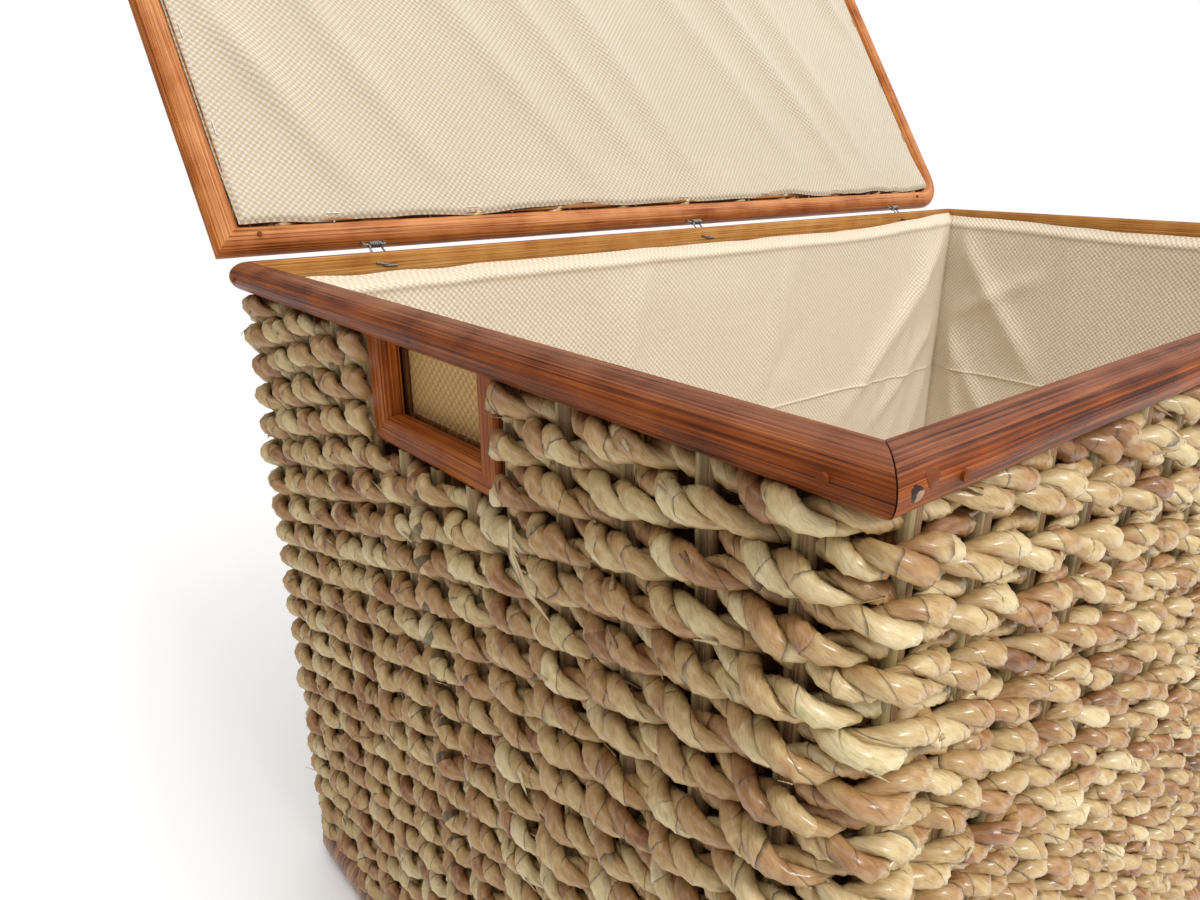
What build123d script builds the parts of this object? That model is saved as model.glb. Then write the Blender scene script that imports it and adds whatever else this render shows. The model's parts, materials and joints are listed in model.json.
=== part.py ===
from build123d import *
import math
import os

os.makedirs("parts", exist_ok=True)

# A lined laundry basket: rope woven over cane stakes between a rim and a base of rattan poles,
# with a hand-hold in each end and a lid on three wire hinges. Millimetres. +X is the right-hand
# end, -Y the front, +Z up; the origin is the middle of the underside. The lid stands open.

# Body
width = 800
depth = 470
height = 440
rim_height = 17
rim_depth = 14
rim_flat = 3
base_pole = 25
bottom_thickness = 4

# Wall, each layer given by how far it lies in from the rim's outer face
weave_outer = 2.5
weave_inner = 20.5
stake_inset = 11.25
backing_inset = 21
backing_thickness = 1.5
lining_inset = 25.2
lining_thickness = 1.2

# Stakes
stake_width = 7.5
stake_thickness = 4.5
stake_tenon = 7
stake_foot = 11
long_stake_pitch = 35.6
long_stake_count = 22
end_stake_pitch = 35
end_stakes_beside = 5
sill_stake_pitch = 31

# Hand-hold
post_width = 15
post_depth = 10
post_inset = 8
hold_width = 83
hold_drop = 54.5
sill_height = 14

# Lid, closed sizes
lid_pole = 18
lid_gap = 1.5
lid_bend = 24
lid_tail = 5
lid_open_angle = 123.5
lid_weave_rise = 13.5
lid_weave_thickness = 18

# Hinges
hinge_spacing = 300
hinge_out = 1
hinge_rise = 3.5
hinge_to_pole = 11.2
pin_radius = 0.9
coil_bore = 0.95
coil_radius = 2.5
coil_length = 11.6
wire_radius = 0.8
wire_bend = 1.4

# Fasteners
nail_head = 1.6
nail_shank = 0.8
nail_length = 9
head_proud = 0.8
head_sunk = 0.6
staple_crown = 10
staple_wire = 0.7
staple_leg = 3

rim_bottom = height - rim_height
weave_thickness = weave_inner - weave_outer
frame_bottom = height - hold_drop - sill_height
frame_width = hold_width + 2 * post_width
first_end_stake = frame_width / 2 + stake_thickness + 1
long_stakes = [(index - (long_stake_count - 1) / 2) * long_stake_pitch for index in range(long_stake_count)]
beside_hold = [first_end_stake + index * end_stake_pitch for index in range(end_stakes_beside)]
tall_end_stakes = [side * place for side in (-1, 1) for place in beside_hold]
sill_stakes = [-sill_stake_pitch, 0, sill_stake_pitch]
hinge_places = [-hinge_spacing, 0, hinge_spacing]

hinge_y = depth / 2 + hinge_out
hinge_z = height + hinge_rise
open_angle = math.radians(lid_open_angle)
lid_plane = Plane(
    origin=(0, hinge_y, hinge_z),
    x_dir=(1, 0, 0),
    z_dir=(0, math.sin(open_angle), math.cos(open_angle)),
)

pieces = {}


def outward_section(start, outward):
    # local X points out of the basket and local Y up
    return Plane(origin=start, x_dir=outward, z_dir=Vector(*outward).cross(Vector(0, 0, 1)))


def cut_mitre(corner, angle, keep_far_side):
    # takes away the half space on one side of an upright plane through the corner
    side = Align.MAX if keep_far_side else Align.MIN
    with Locations(Location(corner, (0, 0, angle))):
        Box(80, 80, 80, align=(side, Align.CENTER, Align.CENTER), mode=Mode.SUBTRACT)


def rod(start, end, radius):
    along = Vector(end) - Vector(start)
    with BuildSketch(Plane(origin=start, z_dir=along)) as section:
        Circle(radius)
    extrude(section.sketch, amount=along.length)


def mirrored(source, about):
    with BuildPart() as copy:
        mirror(source.part, about=about)
    return copy


# Rim: split poles with a flat inner face and a round outer one


def rim_profile():
    round_start = rim_depth - rim_flat
    half = rim_height / 2
    with BuildLine() as outline:
        Polyline((rim_flat, -half), (0, -half), (0, half), (rim_flat, half))
        EllipticalCenterArc((rim_flat, 0), round_start, half, start_angle=-90, arc_size=180)
    make_face(outline.edges())


def long_sockets(y, bottom, top):
    with Locations(*[(x, y, (bottom + top) / 2) for x in long_stakes]):
        Box(stake_width, stake_thickness, top - bottom, mode=Mode.SUBTRACT)


def end_sockets(x, places, bottom, top):
    with Locations(*[(x, y, (bottom + top) / 2) for y in places]):
        Box(stake_thickness, stake_width, top - bottom, mode=Mode.SUBTRACT)


rim_middle = height - rim_height / 2
rim_inner_x = width / 2 - rim_depth
rim_inner_y = depth / 2 - rim_depth
stake_y = depth / 2 - stake_inset
stake_x = width / 2 - stake_inset
stake_top = rim_bottom + stake_tenon
stake_bottom = base_pole - stake_foot

with BuildPart() as rim_front:
    with BuildSketch(outward_section((width / 2, -rim_inner_y, rim_middle), (0, -1, 0))):
        rim_profile()
    extrude(amount=width)
    cut_mitre((-rim_inner_x, -rim_inner_y, rim_middle), -45, True)
    cut_mitre((rim_inner_x, -rim_inner_y, rim_middle), 225, True)
    long_sockets(-stake_y, rim_bottom, stake_top)
pieces["rim_front"] = rim_front

with BuildPart() as rim_back:
    with BuildSketch(outward_section((-rim_inner_x, rim_inner_y, rim_middle), (0, 1, 0))):
        rim_profile()
    extrude(amount=2 * rim_inner_x)
    long_sockets(stake_y, rim_bottom, stake_top)
pieces["rim_back"] = rim_back

with BuildPart() as rim_left:
    left_end = (-rim_inner_x, rim_inner_y, rim_middle)
    with BuildSketch(outward_section(left_end, (-1, 0, 0))):
        rim_profile()
    extrude(amount=-(rim_inner_y + depth / 2))
    with BuildSketch(outward_section(left_end, (-1, 0, 0))):
        rim_profile()
    revolve(axis=Axis(left_end, (0, 0, 1)), revolution_arc=-90)
    cut_mitre((-rim_inner_x, -rim_inner_y, rim_middle), -45, False)
    end_sockets(-stake_x, tall_end_stakes, rim_bottom, stake_top)
pieces["rim_left"] = rim_left
pieces["rim_right"] = mirrored(rim_left, Plane.YZ)

# Base: four round poles, mitred, around a panel that is flush with their undersides

pole_x = (width - base_pole) / 2
pole_y = (depth - base_pole) / 2

with BuildPart() as base_rail_front:
    with Locations(Location((0, -pole_y, base_pole / 2), (0, 90, 0))):
        Cylinder(base_pole / 2, width)
    cut_mitre((-pole_x, -pole_y, base_pole / 2), -45, True)
    cut_mitre((pole_x, -pole_y, base_pole / 2), 225, True)
    long_sockets(-stake_y, stake_bottom, base_pole)
pieces["base_rail_front"] = base_rail_front
pieces["base_rail_back"] = mirrored(base_rail_front, Plane.XZ)

with BuildPart() as base_rail_left:
    with Locations(Location((-pole_x, 0, base_pole / 2), (90, 0, 0))):
        Cylinder(base_pole / 2, depth)
    cut_mitre((-pole_x, -pole_y, base_pole / 2), -45, False)
    cut_mitre((-pole_x, pole_y, base_pole / 2), 45, False)
    end_sockets(-stake_x, tall_end_stakes + sill_stakes, stake_bottom, base_pole)
pieces["base_rail_left"] = base_rail_left
pieces["base_rail_right"] = mirrored(base_rail_left, Plane.YZ)

with BuildPart() as bottom_panel:
    with Locations((0, 0, bottom_thickness / 2)):
        Box(width - 2 * base_pole, depth - 2 * base_pole, bottom_thickness)
pieces["bottom_panel"] = bottom_panel

# Stakes

with BuildPart() as stakes_front:
    with Locations(*[(x, -stake_y, (stake_bottom + stake_top) / 2) for x in long_stakes]):
        Box(stake_width, stake_thickness, stake_top - stake_bottom)
pieces["stakes_front"] = stakes_front
pieces["stakes_back"] = mirrored(stakes_front, Plane.XZ)

with BuildPart() as stakes_left:
    with Locations(*[(-stake_x, y, (stake_bottom + stake_top) / 2) for y in tall_end_stakes]):
        Box(stake_thickness, stake_width, stake_top - stake_bottom)
    with Locations(*[(-stake_x, y, (stake_bottom + frame_bottom) / 2) for y in sill_stakes]):
        Box(stake_thickness, stake_width, frame_bottom - stake_bottom)
pieces["stakes_left"] = stakes_left
pieces["stakes_right"] = mirrored(stakes_left, Plane.YZ)

# Weave: one slab for each wall, slotted for the stakes, and three on each end around the hand-hold

weave_middle = (weave_outer + weave_inner) / 2
weave_y = depth / 2 - weave_middle
weave_x = width / 2 - weave_middle
weave_end = depth / 2 - weave_inner

with BuildPart() as weave_front:
    with Locations((0, -weave_y, (base_pole + rim_bottom) / 2)):
        Box(width - 2 * weave_outer, weave_thickness, rim_bottom - base_pole)
    fillet(weave_front.edges().filter_by(Axis.Z).group_by(Axis.Y)[0], weave_thickness - 2)
    long_sockets(-stake_y, base_pole, rim_bottom)
pieces["weave_front"] = weave_front
pieces["weave_back"] = mirrored(weave_front, Plane.XZ)

with BuildPart() as weave_left_lower:
    with Locations((-weave_x, 0, (base_pole + frame_bottom) / 2)):
        Box(weave_thickness, 2 * weave_end, frame_bottom - base_pole)
    end_sockets(-stake_x, tall_end_stakes + sill_stakes, base_pole, frame_bottom)
pieces["weave_left_lower"] = weave_left_lower
pieces["weave_right_lower"] = mirrored(weave_left_lower, Plane.YZ)

with BuildPart() as weave_left_fore:
    beside_middle = (frame_width / 2 + weave_end) / 2
    with Locations((-weave_x, -beside_middle, (frame_bottom + rim_bottom) / 2)):
        Box(weave_thickness, weave_end - frame_width / 2, rim_bottom - frame_bottom)
    end_sockets(-stake_x, [-place for place in beside_hold], frame_bottom, rim_bottom)
pieces["weave_left_fore"] = weave_left_fore
pieces["weave_left_rear"] = mirrored(weave_left_fore, Plane.XZ)
pieces["weave_right_fore"] = mirrored(weave_left_fore, Plane.YZ)
pieces["weave_right_rear"] = mirrored(pieces["weave_left_rear"], Plane.YZ)

# Hand-hold frame: two posts and a sill, mitred below

post_x = width / 2 - post_inset - post_depth / 2
post_round = 4
mitre_angle = math.degrees(math.atan2(sill_height, post_width))

with BuildPart() as window_posts_left:
    for side in (-1, 1):
        post_y = side * (frame_width - post_width) / 2
        with Locations((-post_x, post_y, (frame_bottom + rim_bottom) / 2)):
            Box(post_depth, post_width, rim_bottom - frame_bottom)
    fillet(window_posts_left.edges().filter_by(Axis.Z).group_by(Axis.X)[0], post_round)
    for side in (-1, 1):
        corner = (-post_x, side * hold_width / 2, height - hold_drop)
        with Locations(Location(corner, (-side * mitre_angle, 0, 0))):
            Box(40, 80, 40, align=(Align.CENTER, Align.CENTER, Align.MAX), mode=Mode.SUBTRACT)
pieces["window_posts_left"] = window_posts_left
pieces["window_posts_right"] = mirrored(window_posts_left, Plane.YZ)

with BuildPart() as window_sill_left:
    with Locations((-post_x, 0, frame_bottom + sill_height / 2)):
        Box(post_depth, frame_width, sill_height)
    fillet(window_sill_left.edges().filter_by(Axis.Y).group_by(Axis.X)[0], post_round)
    for side in (-1, 1):
        corner = (-post_x, side * hold_width / 2, height - hold_drop)
        with Locations(Location(corner, (-side * mitre_angle, 0, 0))):
            Box(40, 80, 40, align=(Align.CENTER, Align.CENTER, Align.MIN), mode=Mode.SUBTRACT)
pieces["window_sill_left"] = window_sill_left
pieces["window_sill_right"] = mirrored(window_sill_left, Plane.YZ)

# Backing: thin panels behind the weave, with a notch at each hand-hold

backing_bottom = 22
backing_top = rim_bottom - 3
backing_middle = (backing_bottom + backing_top) / 2

with BuildPart() as backing_front:
    with Locations((0, -(depth / 2 - backing_inset - backing_thickness / 2), backing_middle)):
        Box(width - 2 * backing_inset, backing_thickness, backing_top - backing_bottom)
pieces["backing_front"] = backing_front
pieces["backing_back"] = mirrored(backing_front, Plane.XZ)

with BuildPart() as backing_left:
    backing_x = width / 2 - backing_inset - backing_thickness / 2
    with Locations((-backing_x, 0, backing_middle)):
        backing_span = depth - 2 * (backing_inset + backing_thickness)
        Box(backing_thickness, backing_span, backing_top - backing_bottom)
    with Locations((-backing_x, 0, height - hold_drop)):
        Box(5, hold_width, hold_drop, align=(Align.CENTER, Align.CENTER, Align.MIN), mode=Mode.SUBTRACT)
pieces["backing_left"] = backing_left
pieces["backing_right"] = mirrored(backing_left, Plane.YZ)

# Lining: a sheet for each wall, hemmed on to the rim's flat inner face, and one on the floor

hem_inset = rim_depth + 0.2
hem_top = rim_bottom + 5
step_top = rim_bottom - 1.5


def lining_profile(bottom):
    # local X is how far out from the rim's inner face, so the sheet lies at negative X
    fall = lining_inset - rim_depth
    lap = rim_depth - hem_inset
    with BuildLine() as outline:
        Polyline(
            (lap, hem_top),
            (lap - lining_thickness, hem_top),
            (-fall - lining_thickness, step_top),
            (-fall - lining_thickness, bottom),
            (-fall, bottom),
            (-fall, step_top),
            (lap, hem_top - 1.5),
            (lap, hem_top),
        )
    make_face(outline.edges())


lining_bottom_level = bottom_thickness + 0.3
wall_lining_bottom = lining_bottom_level + lining_thickness
wall_lining_half = width / 2 - lining_inset - lining_thickness
end_lining_half = depth / 2 - lining_inset - lining_thickness

with BuildPart() as lining_front:
    with BuildSketch(outward_section((wall_lining_half, -rim_inner_y, 0), (0, -1, 0))):
        lining_profile(wall_lining_bottom)
    extrude(amount=2 * wall_lining_half)
pieces["lining_front"] = lining_front
pieces["lining_back"] = mirrored(lining_front, Plane.XZ)

with BuildPart() as lining_left:
    with BuildSketch(outward_section((-rim_inner_x, -end_lining_half, 0), (-1, 0, 0))):
        lining_profile(wall_lining_bottom)
    extrude(amount=2 * end_lining_half)
pieces["lining_left"] = lining_left
pieces["lining_right"] = mirrored(lining_left, Plane.YZ)

with BuildPart() as lining_floor:
    with Locations((0, 0, lining_bottom_level + lining_thickness / 2)):
        Box(2 * wall_lining_half, 2 * end_lining_half, lining_thickness)
pieces["lining_floor"] = lining_floor

# Basket side of the hinges: a coil whose two legs go through the back rim and are clenched inside

clench_level = hem_top + 3
clench_y = rim_inner_y - wire_radius

with BuildPart() as hinge_coils:
    for x in hinge_places:
        with Locations(Location((x, hinge_y, hinge_z), (0, 90, 0))):
            Cylinder(coil_radius, coil_length)
            Cylinder(coil_bore, coil_length, mode=Mode.SUBTRACT)
        for side in (-1, 1):
            leg_x = x + side * (coil_length / 2 - wire_radius - 0.2)
            with BuildLine() as leg:
                FilletPolyline(
                    (leg_x, hinge_y - 1.2, hinge_z - 1.4),
                    (leg_x, clench_y, clench_level),
                    (leg_x + side * 9, clench_y, clench_level + side * 1.5),
                    radius=wire_bend,
                )
            with BuildSketch(Plane(origin=leg.line @ 0, z_dir=leg.line % 0)) as leg_section:
                Circle(wire_radius)
            sweep(leg_section.sketch, path=leg.line)
pieces["hinge_coils"] = hinge_coils

# Lid, laid out on its own plane: local Y runs back towards the hinges, local Z out of the lid's top

lid_left = -(width - lid_pole) / 2
lid_right = (width - lid_pole) / 2
lid_back = -hinge_to_pole
lid_front = lid_pole / 2 - depth / 2 - hinge_y
lid_rise = lid_gap + lid_pole / 2 - hinge_rise
lid_middle = (lid_back + lid_front) / 2
lid_inner_x = width - 2 * lid_pole
lid_inner_y = lid_back - lid_front - lid_pole
lid_stakes_at = long_stakes[:-1]
lid_stake_half = (lid_back - lid_front) / 2 - 2
lid_stake_spots = [(x + long_stake_pitch / 2, lid_middle, lid_weave_rise) for x in lid_stakes_at]


def cut_lid_mitre(y, angle, keep_far_side):
    side = Align.MAX if keep_far_side else Align.MIN
    with Locations(Location((lid_left, y, lid_rise), (0, 0, angle))):
        Box(60, 60, 60, align=(side, Align.CENTER, Align.CENTER), mode=Mode.SUBTRACT)


def lid_stake_holes():
    with Locations(*lid_stake_spots):
        Box(stake_width, 2 * lid_stake_half, stake_thickness, mode=Mode.SUBTRACT)


def lid_cross_pole(y, angle):
    start = lid_left - lid_pole / 2
    end = lid_right - lid_bend - lid_tail
    with Locations(Location(((start + end) / 2, y, lid_rise), (0, 90, 0))):
        Cylinder(lid_pole / 2, end - start)
    cut_lid_mitre(y, angle, True)
    lid_stake_holes()


def round_lid_corners(sheet):
    # the right-hand corners clear the bends of the pole there
    lid_upright = Axis(lid_plane.origin, lid_plane.z_dir)
    corners = sheet.edges().filter_by(lid_upright).group_by(Axis.X)[-1]
    fillet(corners, lid_bend - lid_pole / 2 + 1)


with BuildPart(lid_plane) as lid_rail_back:
    lid_cross_pole(lid_back, 45)
pieces["lid_rail_back"] = lid_rail_back

with BuildPart(lid_plane) as lid_rail_front:
    lid_cross_pole(lid_front, -45)
pieces["lid_rail_front"] = lid_rail_front

with BuildPart(lid_plane) as lid_rail_left:
    with Locations(Location((lid_left, lid_middle, lid_rise), (90, 0, 0))):
        Cylinder(lid_pole / 2, lid_back - lid_front + lid_pole)
    cut_lid_mitre(lid_back, 45, False)
    cut_lid_mitre(lid_front, -45, False)
pieces["lid_rail_left"] = lid_rail_left

with BuildPart() as lid_rail_right:
    tail_x = lid_right - lid_bend - lid_tail
    with BuildLine(lid_plane.offset(lid_rise)) as bent_pole:
        FilletPolyline(
            (tail_x, lid_front),
            (lid_right, lid_front),
            (lid_right, lid_back),
            (tail_x, lid_back),
            radius=lid_bend,
        )
    with BuildSketch(Plane(origin=bent_pole.line @ 0, z_dir=bent_pole.line % 0)):
        Circle(lid_pole / 2)
    sweep()
pieces["lid_rail_right"] = lid_rail_right

with BuildPart(lid_plane) as lid_stakes:
    with Locations(*lid_stake_spots):
        Box(stake_width, 2 * lid_stake_half, stake_thickness)
pieces["lid_stakes"] = lid_stakes

with BuildPart(lid_plane) as lid_weave:
    with Locations((0, lid_middle, lid_weave_rise)):
        Box(lid_inner_x - 1, lid_inner_y - 1, lid_weave_thickness)
    round_lid_corners(lid_weave)
    lid_stake_holes()
pieces["lid_weave"] = lid_weave

lid_backing_rise = lid_weave_rise - lid_weave_thickness / 2 - backing_thickness / 2
with BuildPart(lid_plane) as lid_backing:
    with Locations((0, lid_middle, lid_backing_rise)):
        Box(lid_inner_x - 2, lid_inner_y - 2, backing_thickness)
    round_lid_corners(lid_backing)
pieces["lid_backing"] = lid_backing

lid_lining_rise = lid_backing_rise - backing_thickness / 2 - lining_thickness / 2
with BuildPart(lid_plane) as lid_lining:
    with Locations((0, lid_middle, lid_lining_rise)):
        Box(lid_inner_x - 2, lid_inner_y - 2, lining_thickness)
    round_lid_corners(lid_lining)
pieces["lid_lining"] = lid_lining

# Lid side of the hinges: a pin through each coil, with its two ends driven into the back rail

pin_corners = [(-1, lid_back, lid_rise), (-1, 0, 0), (1, 0, 0), (1, lid_back, lid_rise)]

with BuildPart() as hinge_pins:
    for x in hinge_places:
        reach = coil_length / 2 + 0.3 + wire_bend
        route = [(x + side * reach, y, z) for side, y, z in pin_corners]
        with BuildLine() as pin:
            FilletPolyline(*[lid_plane.from_local_coords(point) for point in route], radius=wire_bend)
        with BuildSketch(Plane(origin=pin.line @ 0, z_dir=pin.line % 0)) as pin_section:
            Circle(pin_radius)
        sweep(pin_section.sketch, path=pin.line)
pieces["hinge_pins"] = hinge_pins

# Fasteners


def nail(surface, inward):
    # a low round head on the surface, with its shank driven inward
    point = Vector(surface)
    push = Vector(inward).normalized()
    rod(point - push * head_proud, point + push * head_sunk, nail_head)
    rod(point, point + push * nail_length, nail_shank)


nail_inset = rim_depth + 6
nail_level = rim_middle

with BuildPart() as rim_nails:
    for side in (-1, 1):
        nail((side * (width / 2 - nail_inset - 8), -depth / 2, nail_level), (0, 1, 0))
        nail((side * width / 2, -(depth / 2 - nail_inset), nail_level), (-side, 0, 0))
        nail((side * width / 2, depth / 2 - nail_inset, nail_level), (-side, 0, 0))
        nail((side * (rim_inner_x - 8), depth / 2, nail_level), (0, -1, 0))
pieces["rim_nails"] = rim_nails

with BuildPart() as lid_nails:
    for y in (lid_back, lid_front):
        for x in (lid_left + lid_pole, lid_right - lid_bend - lid_pole):
            top = lid_plane.from_local_coords((x, y, lid_rise - lid_pole / 2))
            nail(top, lid_plane.z_dir)
pieces["lid_nails"] = lid_nails

staple_level = hem_top - 2
long_staples = [index * 3 * long_stake_pitch for index in range(-3, 4)]
end_staple_places = [first_end_stake + end_stake_pitch * (index + 0.5) for index in (0, 2)]
end_staples = [side * place for side in (-1, 1) for place in end_staple_places] + [0]
staple_face = hem_inset + lining_thickness


def staple(size, legs, leg_offset):
    # a crown and two legs, placed by the Locations around the call
    Box(*size)
    with Locations(*leg_offset):
        Box(*legs)


with BuildPart() as lining_staples:
    proud = staple_wire / 2
    reach = staple_leg / 2
    for side in (-1, 1):
        crown_y = side * (depth / 2 - staple_face - proud)
        for x in long_staples:
            with Locations((x, crown_y, staple_level)):
                half = (staple_crown - staple_wire) / 2
                spots = [(end * half, side * reach, 0) for end in (-1, 1)]
                staple((staple_crown, staple_wire, staple_wire), (staple_wire, staple_leg, staple_wire), spots)
        crown_x = side * (width / 2 - staple_face - proud)
        for y in end_staples:
            with Locations((crown_x, y, staple_level)):
                spots = [(side * reach, end * half, 0) for end in (-1, 1)]
                staple((staple_wire, staple_crown, staple_wire), (staple_leg, staple_wire, staple_wire), spots)
pieces["lining_staples"] = lining_staples

with BuildPart(lid_plane) as lid_staples:
    crown_z = lid_lining_rise - lining_thickness / 2 - staple_wire / 2
    for side in (-1, 1):
        edge_y = lid_middle + side * (lid_inner_y / 2 - 5)
        for x in long_staples:
            with Locations((x, edge_y, crown_z)):
                spots = [(end * half, 0, reach) for end in (-1, 1)]
                staple((staple_crown, staple_wire, staple_wire), (staple_wire, staple_wire, staple_leg), spots)
        edge_x = side * (lid_inner_x / 2 - 5)
        for y in end_staples:
            with Locations((edge_x, lid_middle + y, crown_z)):
                spots = [(0, end * half, reach) for end in (-1, 1)]
                staple((staple_wire, staple_crown, staple_wire), (staple_wire, staple_wire, staple_leg), spots)
pieces["lid_staples"] = lid_staples

for name, piece in pieces.items():
    piece.part.label = name
    export_step(piece.part, f"parts/{name}.step")
print(len(pieces), "parts written")
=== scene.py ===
import json
import math

import bpy
import numpy as np
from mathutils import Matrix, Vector


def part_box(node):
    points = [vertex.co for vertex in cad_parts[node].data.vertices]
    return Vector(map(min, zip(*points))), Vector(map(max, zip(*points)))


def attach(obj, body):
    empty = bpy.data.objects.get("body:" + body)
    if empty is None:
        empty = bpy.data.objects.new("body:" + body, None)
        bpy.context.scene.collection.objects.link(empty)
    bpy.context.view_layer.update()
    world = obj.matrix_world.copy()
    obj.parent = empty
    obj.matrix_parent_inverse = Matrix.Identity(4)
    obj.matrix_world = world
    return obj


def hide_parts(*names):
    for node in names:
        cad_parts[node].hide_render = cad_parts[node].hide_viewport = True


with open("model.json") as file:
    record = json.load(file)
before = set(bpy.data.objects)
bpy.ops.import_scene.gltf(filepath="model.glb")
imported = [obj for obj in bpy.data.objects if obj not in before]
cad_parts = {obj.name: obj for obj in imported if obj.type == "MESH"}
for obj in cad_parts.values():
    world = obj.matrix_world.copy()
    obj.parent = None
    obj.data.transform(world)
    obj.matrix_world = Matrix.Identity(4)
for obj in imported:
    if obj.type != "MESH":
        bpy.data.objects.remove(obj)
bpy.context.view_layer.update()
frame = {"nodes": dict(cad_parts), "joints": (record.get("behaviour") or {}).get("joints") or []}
nodes = frame["nodes"]
hinge = next(joint for joint in frame["joints"] if joint["name"] == "lid_hinge")
tau = 2 * math.pi
up = np.array((0.0, 0.0, 1.0))

# What the frame gives: the outside of the rim, the heights of rim and base, and the hand-hold
rimLow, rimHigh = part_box("rim_front")
basket = dict(
    halfX=rimHigh.x,
    halfY=-rimLow.y,
    top=rimHigh.z,
    rimBottom=rimLow.z,
    rimDepth=rimHigh.y - rimLow.y,
    poleTop=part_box("base_rail_front")[1].z,
)
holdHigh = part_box("window_posts_left")[1]
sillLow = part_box("window_sill_left")[0]


def cadPoints(node):
    return np.array([vertex.co for vertex in nodes[node].data.vertices])


def stakeCentres(node, axis):
    edges = np.unique(np.round(cadPoints(node)[:, axis], 5))
    return edges.reshape(-1, 2).mean(1)


def smoothStep(value, low, high):
    t = np.clip((value - low) / (high - low), 0, 1)
    return t * t * (3 - 2 * t)


def unit(vectors):
    return vectors / np.linalg.norm(vectors, axis=-1, keepdims=True)


def drift(rng, place, spacing, total=None):
    # smooth random values about 0; with total given, they repeat after that length
    reach = total if total else float(np.max(place)) + spacing
    count = max(4, int(round(reach / spacing)))
    knots = rng.standard_normal(count)
    at = (place / reach * count) % count
    low = np.floor(at).astype(int) % count
    part = at - np.floor(at)
    part = part * part * (3 - 2 * part)
    return knots[low] * (1 - part) + knots[(low + 1) % count] * part


# Meshes


class Skin:
    # gathers grids of points into one mesh; each grid is rings along by points round

    def __init__(self):
        self.points, self.quads, self.run, self.tone, self.count = [], [], [], [], 0

    def grid(self, points, run, tone, closedAlong=False, closedRound=True):
        rings, sides = points.shape[:2]
        along = np.arange(rings if closedAlong else rings - 1)
        across = np.arange(sides if closedRound else sides - 1)
        i, j = np.meshgrid(along, across, indexing="ij")
        iNext, jNext = (i + 1) % rings, (j + 1) % sides
        quads = np.stack([i * sides + j, i * sides + jNext, iNext * sides + jNext, iNext * sides + j], -1)
        self.points.append(points.reshape(-1, 3))
        self.run.append(np.broadcast_to(run, points.shape).reshape(-1, 3))
        self.tone.append(np.broadcast_to(tone, points.shape[:2]).reshape(-1))
        self.quads.append(quads.reshape(-1, 4) + self.count)
        self.count += rings * sides

    def cap(self, ring, run, tone, flip):
        # closes the end of a tube that has an even number of points round
        sides = len(ring)
        i = np.arange(sides // 2 - 1)
        quads = np.stack([i, i + 1, sides - 2 - i, sides - 1 - i], -1)
        self.points.append(ring)
        self.run.append(np.broadcast_to(run, ring.shape))
        self.tone.append(np.broadcast_to(tone, (sides,)))
        self.quads.append((quads[:, ::-1] if flip else quads) + self.count)
        self.count += sides

    def tube(self, points, run, tone, closed=False):
        # a tube whose faces look outward, with its two ends closed unless it is a ring
        run = np.broadcast_to(run, points.shape)
        tone = np.broadcast_to(tone, points.shape[:2])
        middle = len(points) // 2
        spokes = points[middle] - points[middle].mean(0)
        ahead = points[middle + 1].mean(0) - points[middle - 1].mean(0)
        if np.cross(spokes, np.roll(spokes, -1, 0)).sum(0) @ ahead < 0:
            points, run, tone = points[:, ::-1], run[:, ::-1], tone[:, ::-1]
        self.grid(points, run, tone, closedAlong=closed)
        if not closed:
            self.cap(points[0], run[0], tone[0], True)
            self.cap(points[-1], run[-1], tone[-1], False)

    def build(self, name, material, body, replaced=()):
        mesh = bpy.data.meshes.new(name)
        points = np.concatenate(self.points).astype(np.float32)
        quads = np.concatenate(self.quads).astype(np.int32)
        mesh.vertices.add(len(points))
        mesh.vertices.foreach_set("co", points.ravel())
        mesh.loops.add(quads.size)
        mesh.loops.foreach_set("vertex_index", quads.ravel())
        mesh.polygons.add(len(quads))
        mesh.polygons.foreach_set("loop_start", np.arange(0, quads.size, 4, dtype=np.int32))
        mesh.update(calc_edges=True)
        run = mesh.attributes.new("run", "FLOAT_VECTOR", "POINT")
        run.data.foreach_set("vector", np.concatenate(self.run).astype(np.float32).ravel())
        tone = mesh.attributes.new("tone", "FLOAT", "POINT")
        tone.data.foreach_set("value", np.concatenate(self.tone).astype(np.float32))
        mesh.shade_smooth()
        mesh.materials.append(material)
        piece = bpy.data.objects.new(name, mesh)
        bpy.context.scene.collection.objects.link(piece)
        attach(piece, body)
        if replaced:
            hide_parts(*replaced)
        return piece


# Shader building


def put(tree, kind, values=None, **settings):
    made = tree.nodes.new(kind)
    for key, value in settings.items():
        setattr(made, key, value)
    for key, value in (values or {}).items():
        if isinstance(value, bpy.types.NodeSocket):
            tree.links.new(value, made.inputs[key])
        else:
            made.inputs[key].default_value = value
    return made


def calc(tree, operation, *values, clamp=False):
    made = put(tree, "ShaderNodeMath", dict(enumerate(values)), operation=operation, use_clamp=clamp)
    return made.outputs[0]


def vectorCalc(tree, operation, *values):
    return put(tree, "ShaderNodeVectorMath", dict(enumerate(values)), operation=operation).outputs[0]


def weighted(tree, first, firstShare, second, secondShare):
    first, second = calc(tree, "MULTIPLY", first, firstShare), calc(tree, "MULTIPLY", second, secondShare)
    return calc(tree, "ADD", first, second)


def splitVector(tree, vector):
    return put(tree, "ShaderNodeSeparateXYZ", {0: vector}).outputs


def joinVector(tree, *parts):
    return put(tree, "ShaderNodeCombineXYZ", dict(enumerate(parts))).outputs[0]


def stretch(tree, vector, *factors):
    # multiplies each part of a vector by its own factor
    parts = splitVector(tree, vector)
    return joinVector(tree, *(calc(tree, "MULTIPLY", part, factor) for part, factor in zip(parts, factors)))


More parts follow.
